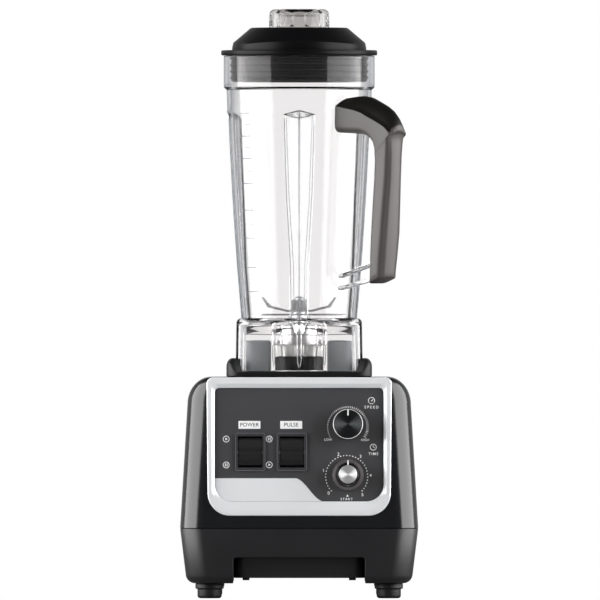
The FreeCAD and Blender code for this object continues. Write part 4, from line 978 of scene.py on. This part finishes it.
SKIRT_HALF, SKIRT_CORNER, SKIRT_TOP = 54.8, 12.0, 45.9
rings = [square_ring(SKIRT_HALF + 0.3, SKIRT_CORNER, JAR_FOOT + 0.6),
         square_ring(SKIRT_HALF + 0.35, SKIRT_CORNER, JAR_FOOT + 1.2),
         square_ring(SKIRT_HALF, SKIRT_CORNER, JAR_FOOT + 24),
         square_ring(SKIRT_HALF - 0.3, SKIRT_CORNER, JAR_FOOT + SKIRT_TOP - 4.5)]
for angle in range(15, 91, 15):
    fall = math.radians(angle)
    rings.append(square_ring(SKIRT_HALF - 0.3 - 4.3 * (1 - math.cos(fall)), SKIRT_CORNER - 1,
                             JAR_FOOT + SKIRT_TOP - 4.5 + 4.5 * math.sin(fall)))
top = rings[-1]
rings += fan_in(top, 50.2, JAR_FOOT + SKIRT_TOP)
rings += fan_in(top, 50.0, JAR_FOOT + SKIRT_TOP - WALL)
rings += [square_ring(SKIRT_HALF - WALL - 2.5, SKIRT_CORNER - WALL, JAR_FOOT + SKIRT_TOP - WALL),
          square_ring(SKIRT_HALF - WALL - 0.3, SKIRT_CORNER - WALL, JAR_FOOT + SKIRT_TOP - 6),
          square_ring(SKIRT_HALF - WALL + 0.3, SKIRT_CORNER - WALL, JAR_FOOT + 0.6),
          square_ring(SKIRT_HALF - WALL + 0.8, SKIRT_CORNER - WALL, JAR_FOOT + 0.02),
          square_ring(SKIRT_HALF - 0.4, SKIRT_CORNER, JAR_FOOT + 0.02)]
skirt = build("jar_skirt", rings, closed=True)

RIBS = ((-22.0, 2.6, 4.6, 41.0), (22.0, 2.6, 4.6, 41.0), (0.0, 4.3, 3.0, 31.0))
extras = []
for turn in range(4):
    spin = Matrix.Rotation(turn * math.pi / 2, 3, "Z")
    for x, width, low, high in RIBS:
        face = SKIRT_HALF - WALL
        rings = [[spin @ Vector((x + side * width / 2 * share, -face + depth, JAR_FOOT + height))
                  for side, depth in ((-1, 0.3), (1, 0.3), (0.6, 2.4), (-0.6, 2.4))]
                 for height, share in ((low, 0.15), (low + 4, 0.8), (low + 9, 1.0), (high, 1.0))]
        extras.append(build("rib", rings))

ARM_TURN = Matrix.Rotation(math.radians(-45), 3, "Z")


def arm_bar(low_in, low_out, thick, width, reach_in, reach_out):
    """A straight bar of the handle's arm, in the handle's plane."""
    rings = []
    for radius, height in ((reach_in, low_in), (reach_out, low_out)):
        section = outline([(-width / 2, 0, 1.0), (width / 2, 0, 1.0), (width / 2, thick, 1.0),
                           (-width / 2, thick, 1.0)], 3)
        rings.append([ARM_TURN @ Vector((radius, across, JAR_FOOT + height + up))
                      for across, up in section])
    return build("bar", rings)


extras += [arm_bar(70.2, 79.0, 3.0, 8.0, 51.2, 94.0), arm_bar(80.8, 92.4, 3.0, 8.0, 52.0, 94.0)]

TICK_HEIGHTS = (223.2, 203.3, 183.8, 162.1, 139.1, 114.9, 89.2, 68.5)


def wall_bar(height, start, end, high, proud=0.45):
    """A raised line moulded round the jar's wall between two angles."""
    steps = 6
    rings = []
    for i in range(steps + 1):
        angle = math.radians(start + (end - start) * i / steps)
        ring = []
        for level, lift in ((0, -0.2), (0, proud), (high, proud), (high, -0.2)):
            reach = read(WALL_LINE, height + level) + lift
            ring.append((reach * math.cos(angle), reach * math.sin(angle),
                         JAR_FOOT + height + level))
        rings.append(ring)
    return build("tick", rings)


creases = []
for i, height in enumerate(TICK_HEIGHTS):
    creases.append(wall_bar(height, -146, -134, 0.8))
    if i:
        middle = (height + TICK_HEIGHTS[i - 1]) / 2
        creases.append(wall_bar(middle, -139, -134, 0.6))
    extras.append(wall_bar(height - 8, -50, -46, 0.6))
creases += [wall_bar(62.0 + 4.0 * i, -153, -150, 0.5) for i in range(41)]


def thread(points, radius=0.34):
    """A fine raised line, six-sided, through a list of points; it marks a moulded crease."""
    rings = []
    for i, point in enumerate(points):
        onward = Vector(points[min(i + 1, len(points) - 1)]) - Vector(points[max(i - 1, 0)])
        side = onward.orthogonal().normalized()
        other = onward.normalized().cross(side)
        rings.append([Vector(point) + radius * (side * math.cos(k * math.pi / 3)
                                                + other * math.sin(k * math.pi / 3))
                      for k in range(6)])
    return build("crease", rings)


def crease_point(turn, share, height):
    """A point on a baffle's outside: share 0 is the fold, 1 or -1 the edge."""
    radius, half = read(WALL_LINE, height), read(BAFFLE_HALF, height)
    along = math.sqrt(radius ** 2 - half ** 2) - read(BAFFLE_DEEP, height) * 0.96 * (1 - abs(share))
    if share:
        along += 0.1
    return Matrix.Rotation(turn * math.pi / 2, 3, "Z") @ Vector((along, share * half,
                                                                 JAR_FOOT + height))


for turn in range(4):
    for share in (-1, 0, 1):
        creases.append(thread([crease_point(turn, share, h) for h in
                              (44, 60, 78, 90, 104, 118, 135, 152, 170, 188, 204, 219.2)]))
    for share in (-1, 1):
        roof = [crease_point(turn, 0, 219.2), crease_point(turn, share, 222.3),
                crease_point(turn, 0, 225.6)]
        creases += [thread(roof[:2], 0.45), thread(roof[1:], 0.45)]


def clear_plastic(name, colour, edge_shade_colour, ior, roughness=0.03):
    """A clear moulding: nearly colourless seen square on, darkened by painted shade where the eye
    skims it.
    """
    material, tree = fresh_material(name)
    bump = grain(tree, 14.0, 0.03, 0.2, 1.0)[2]
    facing = add(tree, "ShaderNodeLayerWeight", Blend=0.5)
    slant = add(tree, "ShaderNodeMapRange", {"interpolation_type": "SMOOTHSTEP"},
                _0=facing.outputs["Facing"], _1=0.25, _2=1.02)
    # Painted shade: the colour turns to the edge shade colour where the surface turns away from the
    # eye.
    body = add(tree, "ShaderNodeMixRGB", _0=slant.outputs[0], _1=to_linear(colour),
               _2=to_linear(edge_shade_colour))
    finish_material(tree, add(tree, "ShaderNodeBsdfPrincipled", Base_Color=body.outputs[0],
                              Roughness=roughness, IOR=ior, Specular_Tint=to_linear("#8A8A8A"),
                              Transmission_Weight=1.0, Normal=bump.outputs[0]))
    return material


jar = join("jar_wall_and_skirt", [wall, skirt] + extras)
# Clear copolyester, with painted shade in blue-grey where the eye skims the wall.
place(jar, "container", "clear_jar", clear_plastic("clear_copolyester", "#F6F5F5", "#5B6672", 1.45),
      ["jar"], crease=17)
# The creases and raised graduations in a grey copy of the clear plastic: painted shade for the dark
# lines that refraction draws there.
place(join("jar_creases", creases), "container", "clear_jar",
      clear_plastic("copolyester_painted_crease_shade", "#A9ADB2", "#5B6066", 1.45))

# ------------------------------------------------------------------ handle
# A hollow glass-filled nylon moulding in warm grey; its upward crown is darkened by painted shade.
# A hood grows out of the jar's shoulder and turns down past a lip into the slant-cut grip.

HANDLE = (  # inner reach and height, outer reach and height, width, two roundings, crown
    (60, 206.6, 60, 236.6, 33, 6, 1.5, 6), (70, 206, 70, 237.8, 31.6, 6, 1.5, 9),
    (80, 205.7, 80.5, 238.4, 29.6, 6, 1.5, 11.3), (87, 205.2, 90, 237, 27.6, 6, 1.5, 12.4),
    (92.5, 203.4, 99, 233.4, 25.8, 6, 1.5, 12.8), (96.6, 200.2, 107.5, 229.8, 24.2, 6, 1.6, 12.6),
    (98.9, 196.6, 114.5, 225.4, 23.1, 6, 1.8, 11.5), (99.8, 193, 119.8, 219.8, 22.5, 6, 2, 9),
    (100.1, 190.3, 122.9, 213.6, 22.1, 6, 2.4, 6),
    (100.2, 188.4, 123.6, 209.2, 21.8, 5.5, 2.6, 3.5),
    (100.2, 187.2, 123, 207.2, 21.6, 5.5, 2.6, 2.6),
    (100.1, 186.4, 121.2, 206.3, 21.4, 5.5, 2.8, 2.2),
    (100.1, 185.6, 119.9, 204.6, 21.2, 5.5, 3.5, 1.8),
    (99.9, 184.4, 119.7, 198, 20.9, 5.5, 4.5, 1.5), (99.7, 182, 119.4, 188, 20.6, 5.5, 5, 1.3),
    (98.9, 166, 118.4, 168, 20.8, 5.5, 5.2, 1.2), (97.9, 143, 116.8, 144, 22.8, 5.5, 5.5, 1.2),
    (96.8, 119.6, 115.1, 119.6, 24.2, 5.5, 5.5, 1.2), (95.5, 100, 112.9, 100, 23.8, 5.5, 5.5, 1.2),
    (94.5, 84, 111.3, 86, 22.6, 5.5, 5.5, 1.2), (94, 76.8, 110.9, 82.6, 21.8, 5, 5, 1),
    (94.3, 75.9, 110.4, 81.5, 20.6, 4.5, 4.5, 0.8), (95.2, 75.9, 109.6, 80.9, 19, 4, 4, 0.6))


def handle_ring(reach_in, up_in, reach_out, up_out, width, inner_round, outer_round, crown):
    """A section of the handle: flat sides, rounded inner corners and a crowned outer face."""
    inner_edge = Vector((reach_in, up_in))
    across = Vector((reach_out, up_out)) - inner_edge
    length = across.length
    across.normalize()
    half, base = width / 2, length - crown
    shape = arc(inner_round, half - inner_round, inner_round, 90, 180, 6)
    shape += arc(inner_round, inner_round - half, inner_round, 180, 270, 6)
    shape += arc(base - outer_round, outer_round - half, outer_round, 270, 345, 5)
    side = half - 0.6 * outer_round
    shape += [(base + crown * (1 - t * t), side * t)
              for t in (-0.85, -0.6, -0.3, 0, 0.3, 0.6, 0.85)]
    shape += arc(base - outer_round, half - outer_round, outer_round, 15, 90, 5)
    return [ARM_TURN @ Vector((inner_edge.x + across.x * u, v,
                               JAR_FOOT + inner_edge.y + across.y * u)) for u, v in shape]


grip = build("handle_grip", [handle_ring(*row) for row in HANDLE])
jar_core = lathe("jar_core", [(0.01, JAR_FOOT + 150), (read(WALL_LINE, 150) + 0.15, JAR_FOOT + 150),
                              (read(WALL_LINE, 200) + 0.15, JAR_FOOT + 200),
                              (63.25, JAR_FOOT + 244), (0.01, JAR_FOOT + 244)], 96)
grip = carve(grip, [jar_core])
grip.name = "handle_grip"
# Glass-filled nylon: warm grey with a faint sheen; faces that point up get painted shade, near
# black and less glossy.
handle_grey, tree = fresh_material("warm_grey_nylon_painted_top_shade")
_, noise, bump = grain(tree, 0.9, 0.22)
surface = add(tree, "ShaderNodeNewGeometry")
upward = add(tree, "ShaderNodeSeparateXYZ", Vector=surface.outputs["Normal"])
# Painted shade: a mask of the faces that point up, which turns them near black and cuts their
# gloss.
crown = add(tree, "ShaderNodeMapRange", {"interpolation_type": "SMOOTHSTEP"},
            _0=upward.outputs[2], _1=0.2, _2=0.36)
speckle = add(tree, "ShaderNodeMix", {"data_type": "RGBA"}, _0=noise.outputs[0],
              _6=to_linear("#454140"), _7=to_linear("#4E4A48"))
tone = add(tree, "ShaderNodeMix", {"data_type": "RGBA"}, _0=crown.outputs[0],
           _6=speckle.outputs[2], _7=to_linear("#171615"))
painted_shade_gloss = add(tree, "ShaderNodeMapRange", _0=crown.outputs[0], _3=0.38, _4=0.2)
finish_material(tree, add(tree, "ShaderNodeBsdfPrincipled", Base_Color=tone.outputs[2],
                          Roughness=0.42, IOR=1.5, Specular_IOR_Level=painted_shade_gloss.outputs[0],
                          Normal=bump.outputs[0]))
place(grip, "container", "handle_grey", handle_grey, ["handle"], crease=50)

# ------------------------------------------------------------------ lid
# Soft black rubber: a ribbed plug inside the jar's mouth, a thin brim, and a cone on top that
# stands on a low wall, which rises to the front and rear.

brim = box_mm("jar")[1].z + 0.4


def round_ring(height, radius, count=192):
    """A circle about the jar's axis, at a height above the brim."""
    return [(radius * math.cos(2 * math.pi * i / count), radius * math.sin(2 * math.pi * i / count),
             brim + height) for i in range(count)]


PLUG_RIBS, RIB_PITCH, PLUG_FOOT = 4, 5.4, -22.0
RIB = ((0.0, 59.0), (1.4, 59.1), (1.9, 59.8), (2.5, 60.3), (3.3, 60.3), (3.8, 59.2))
BRIM = ((-0.2, 59.0), (0.05, 60.0), (0.05, 66.9), (0.5, 67.6), (1.2, 67.8), (3.3, 67.8),
        (4.1, 67.5), (4.4, 66.9))
rings = [round_ring(-23.0, 54.5), round_ring(-23.0, 57.2), round_ring(-22.4, 58.2)]
rings += [round_ring(PLUG_FOOT + RIB_PITCH * i + height, radius)
          for i in range(PLUG_RIBS) for height, radius in RIB]
rings += [round_ring(height, radius) for height, radius in BRIM]
DOME_FOOT, DOME_NECK, CONE_TOP = 58.3, 57.3, 41.8


def dome_ring(share, count=192):
    """From the top of the dome's wall, higher front and rear, up its cone to the flat top."""
    ring = []
    for i in range(count):
        angle = 2 * math.pi * i / count
        rise = abs(math.sin(angle))
        reach, height = DOME_FOOT, 6.3 + 5.3 * rise
        if share > 0:
            reach = DOME_NECK + (CONE_TOP + 0.9 - DOME_NECK) * share
            height = 10.9 + 1.1 * rise
            height += (23.3 - height) * share
        ring.append((reach * math.cos(angle), reach * math.sin(angle), brim + height))
    return ring


rings += [round_ring(4.45, DOME_FOOT), round_ring(5.6, DOME_FOOT)]
rings += [dome_ring(share) for share in (0.0, 0.0001, 0.02, 0.25, 0.5, 0.75, 1.0)]
LID_TOP = ((23.8, 41.8), (24.0, 41.0), (24.0, 21.5), (23.5, 21.05), (18.0, 21.05), (18.0, 39.0),
           (3.4, 54.4))
rings += [round_ring(height, radius) for height, radius in LID_TOP]
lid = build("lid_cone_and_plug", rings, closed=True)
# Soft rubber: nearly black, with only a faint sheen.
lid_rubber = moulded("soft_black_lid_rubber", "#08080A", "#0C0C0E", 0.38, 1.2, 0.15, IOR=1.35,
                      Specular_IOR_Level=0.2)
place(lid, "cover", "black_rubber", lid_rubber, ["lid"], crease=24)

# ------------------------------------------------------------------ filler cap
# A clear plug with a fluted rim. It doubles as a measure, so it is hollow and open below.

cap_foot = box_mm("lid")[1].z
CAP_FLUTES = 12


def cap_ring(height, radius, flute=0.0, count=CAP_FLUTES * 10):
    """A circle about the cap's axis, dented between its lobes."""
    ring = []
    for i in range(count):
        angle = 2 * math.pi * i / count
        dent = flute * (1 - abs(math.cos(CAP_FLUTES * angle / 2))) ** 2
        ring.append(((radius - dent) * math.cos(angle), (radius - dent) * math.sin(angle),
                     cap_foot + height))
    return ring


CAP_PROFILE = ((-17.0, 18.4), (-17.0, 20.3), (-16.7, 20.6), (0.0, 20.6), (0.05, 26.0),
               (0.6, 26.2), (1.6, 26.2, 1.1), (11.0, 26.0, 1.1), (13.0, 25.6, 0.9),
               (14.4, 24.9, 0.6), (15.4, 23.8, 0.2), (16.0, 22.4), (16.1, 20.0), (16.1, 0.4),
               (12.6, 0.4), (12.8, 15.0), (12.4, 17.6), (11.4, 18.2))
rings = [cap_ring(*row) for row in CAP_PROFILE]
cap = build("filler_cap_plug", rings, closed=True)
# Acrylic: clear with a slight warm tint, and painted shade that greys it where the eye skims the
# lobes.
cap_clear = clear_plastic("clear_cap_acrylic", "#D2D0CF", "#77736F", 1.49, 0.06)
place(cap, "plug", "clear_jar", cap_clear, ["filler_cap"], crease=40)

# ------------------------------------------------------------------ blade unit
# Ground stainless blades on a splined shaft, above a turned hub that a ribbed alloy nut clamps
# through the jar's floor.

# Ground stainless: long fine scratches draw its highlights out.
steel, tree = fresh_material("ground_stainless_steel")
spot = add(tree, "ShaderNodeTexCoord")
stretch = add(tree, "ShaderNodeMapping", Vector=spot.outputs["Object"])
stretch.inputs["Scale"].default_value = (0.15, 1.0, 1.0)
scratch = add(tree, "ShaderNodeTexNoise", Vector=stretch.outputs[0], Scale=1 / (0.35 * MM),
              Detail=3.0)
bump = add(tree, "ShaderNodeBump", Strength=0.12, Distance=0.04 * MM, Height=scratch.outputs[0])
finish_material(tree, add(tree, "ShaderNodeBsdfPrincipled", Base_Color=to_linear("#8A8B8D"),
                          Metallic=1.0, Roughness=0.26, Normal=bump.outputs[0]))
# Turned alloy: pale and bright.
alloy = coated("turned_alloy", "#E6E6E4", 0.55, 0.34, 0.5, 0.08)
nut_low = box_mm("retaining_nut")[0]
NUT_RIBS = 12
rings = []
for height, radius, dent in ((0.0, 14.1, 0), (0.0, 19.0, 0), (0.5, 19.6, 0.8), (5.0, 20.3, 0.8),
                             (8.6, 20.9, 0.8), (9.4, 20.4, 0), (9.85, 19.6, 0), (9.85, 14.1, 0)):
    ring = []
    for i in range(NUT_RIBS * 10):
        angle = 2 * math.pi * i / (NUT_RIBS * 10)
        notch = dent if math.cos(NUT_RIBS * angle) < -0.35 else 0
        ring.append(((radius - notch) * math.cos(angle), (radius - notch) * math.sin(angle),
                     nut_low.z + height))
    rings.append(ring)
nut = build("hub_nut", rings, closed=True)
place(nut, "container", "nut_steel", alloy, ["retaining_nut"], crease=30)

# ------------------------------------------------------------------ clamped hub and blades
# The bearing hub is turned from alloy, the cutters are stamped from stainless sheet and bent,
# and an acorn nut holds them on the splined shaft.


def repaint(material, *nodes):
    """Give CAD nodes their real finish."""
    for node in nodes:
        for slot in frame["nodes"][node].material_slots:
            slot.material = material


# Clear-anodised alloy: a softer, greyer shine.
hub_alloy = coated("anodised_hub_alloy", "#C9CACB", 0.7, 0.32, 0.6, 0.1)
repaint(hub_alloy, "bearing_housing")
repaint(steel, "lower_blades", "upper_blades", "blade_cap_nut", "blade_spacer", "blade_shaft")

# ------------------------------------------------------------------ drive train and wiring
# Inside the casing a series-wound motor hangs on rubber mounts, with its fan below, and the
# boards and switches sit behind the panel. Each has the finish of its own stock part.


def metal(name, colour, roughness, grain_mm, strength):
    """A bare or plated metal with its tooling or casting marks."""
    material, tree = fresh_material(name)
    _, noise, bump = grain(tree, grain_mm, strength)
    patina = add(tree, "ShaderNodeMapRange", Value=noise.outputs[0], _3=roughness * 0.8,
                 _4=roughness * 1.3)
    finish_material(tree, add(tree, "ShaderNodeBsdfPrincipled", Base_Color=to_linear(colour),
                              Metallic=1.0, Roughness=patina.outputs[0], Normal=bump.outputs[0]))
    return material


# Stock finishes, from bright ground shafts to dull zinc, castings and board green.
bearing_steel = metal("bright_bearing_steel", "#C4C5C8", 0.16, 0.8, 0.05)
zinc_steel = metal("zinc_plated_steel", "#B4B7BC", 0.34, 1.6, 0.18)
cast_alloy = metal("die_cast_alloy", "#9EA0A2", 0.45, 1.1, 0.5)
copper = metal("enamelled_copper_wire", "#B4602F", 0.3, 0.5, 0.6)
carbon = moulded("pressed_carbon", "#1B1B1C", "#222224", 0.55, 0.4, 0.4)
board_green = moulded("solder_mask_green", "#17452B", "#1C5233", 0.35, 0.8, 0.2)
fan_nylon = moulded("glass_filled_fan_nylon", "#1A1B1D", "#202124", 0.5, 0.7, 0.3)
seal_rubber = moulded("nitrile_seal_rubber", "#101011", "#161617", 0.55, 0.8, 0.25)

# Stamped sheets stacked edge on: fine dark lines between bright edges.
lamination, tree = fresh_material("stacked_steel_laminations")
spot = add(tree, "ShaderNodeTexCoord")
sheet = add(tree, "ShaderNodeTexWave", {"wave_type": "BANDS", "bands_direction": "Z"},
            Vector=spot.outputs["Object"], Scale=1 / (10.0 * MM), Distortion=0.3, Detail=1.0)
edge = add(tree, "ShaderNodeBump", Strength=0.5, Distance=0.1 * MM, Height=sheet.outputs[1])
tone = add(tree, "ShaderNodeMix", {"data_type": "RGBA"}, _0=sheet.outputs[1],
           _6=to_linear("#55575A"), _7=to_linear("#86888B"))
finish_material(tree, add(tree, "ShaderNodeBsdfPrincipled", Base_Color=tone.outputs[2],
                          Metallic=1.0, Roughness=0.42, Normal=edge.outputs[0]))

repaint(bearing_steel, "motor_shaft", "upper_bearing", "lower_bearing", "blade_bearings",
        "speed_knob_shaft", "timer_knob_shaft")
black_steel = metal("black_oxide_steel", "#232427", 0.4, 0.9, 0.2)
repaint(black_steel, "cover_screws", "foot_screws")
repaint(zinc_steel, "motor_bolts", "lower_motor_bracket",
        "upper_motor_bracket", "rocker_pins", "speed_potentiometer", "timer_unit", "drive_socket")
repaint(cast_alloy, "heat_sink")
repaint(lamination, "motor_stator", "armature")
repaint(copper, "field_windings", "commutator")
repaint(carbon, "carbon_brushes")
repaint(fan_nylon, "cooling_fan", "fan_shroud", "brush_holders")
repaint(board_green, "control_board")
repaint(seal_rubber, "shaft_seal", "hub_gasket", "motor_mounts", "cord_gland")
repaint(satin_black, "bottom_cover", "rear_vent")
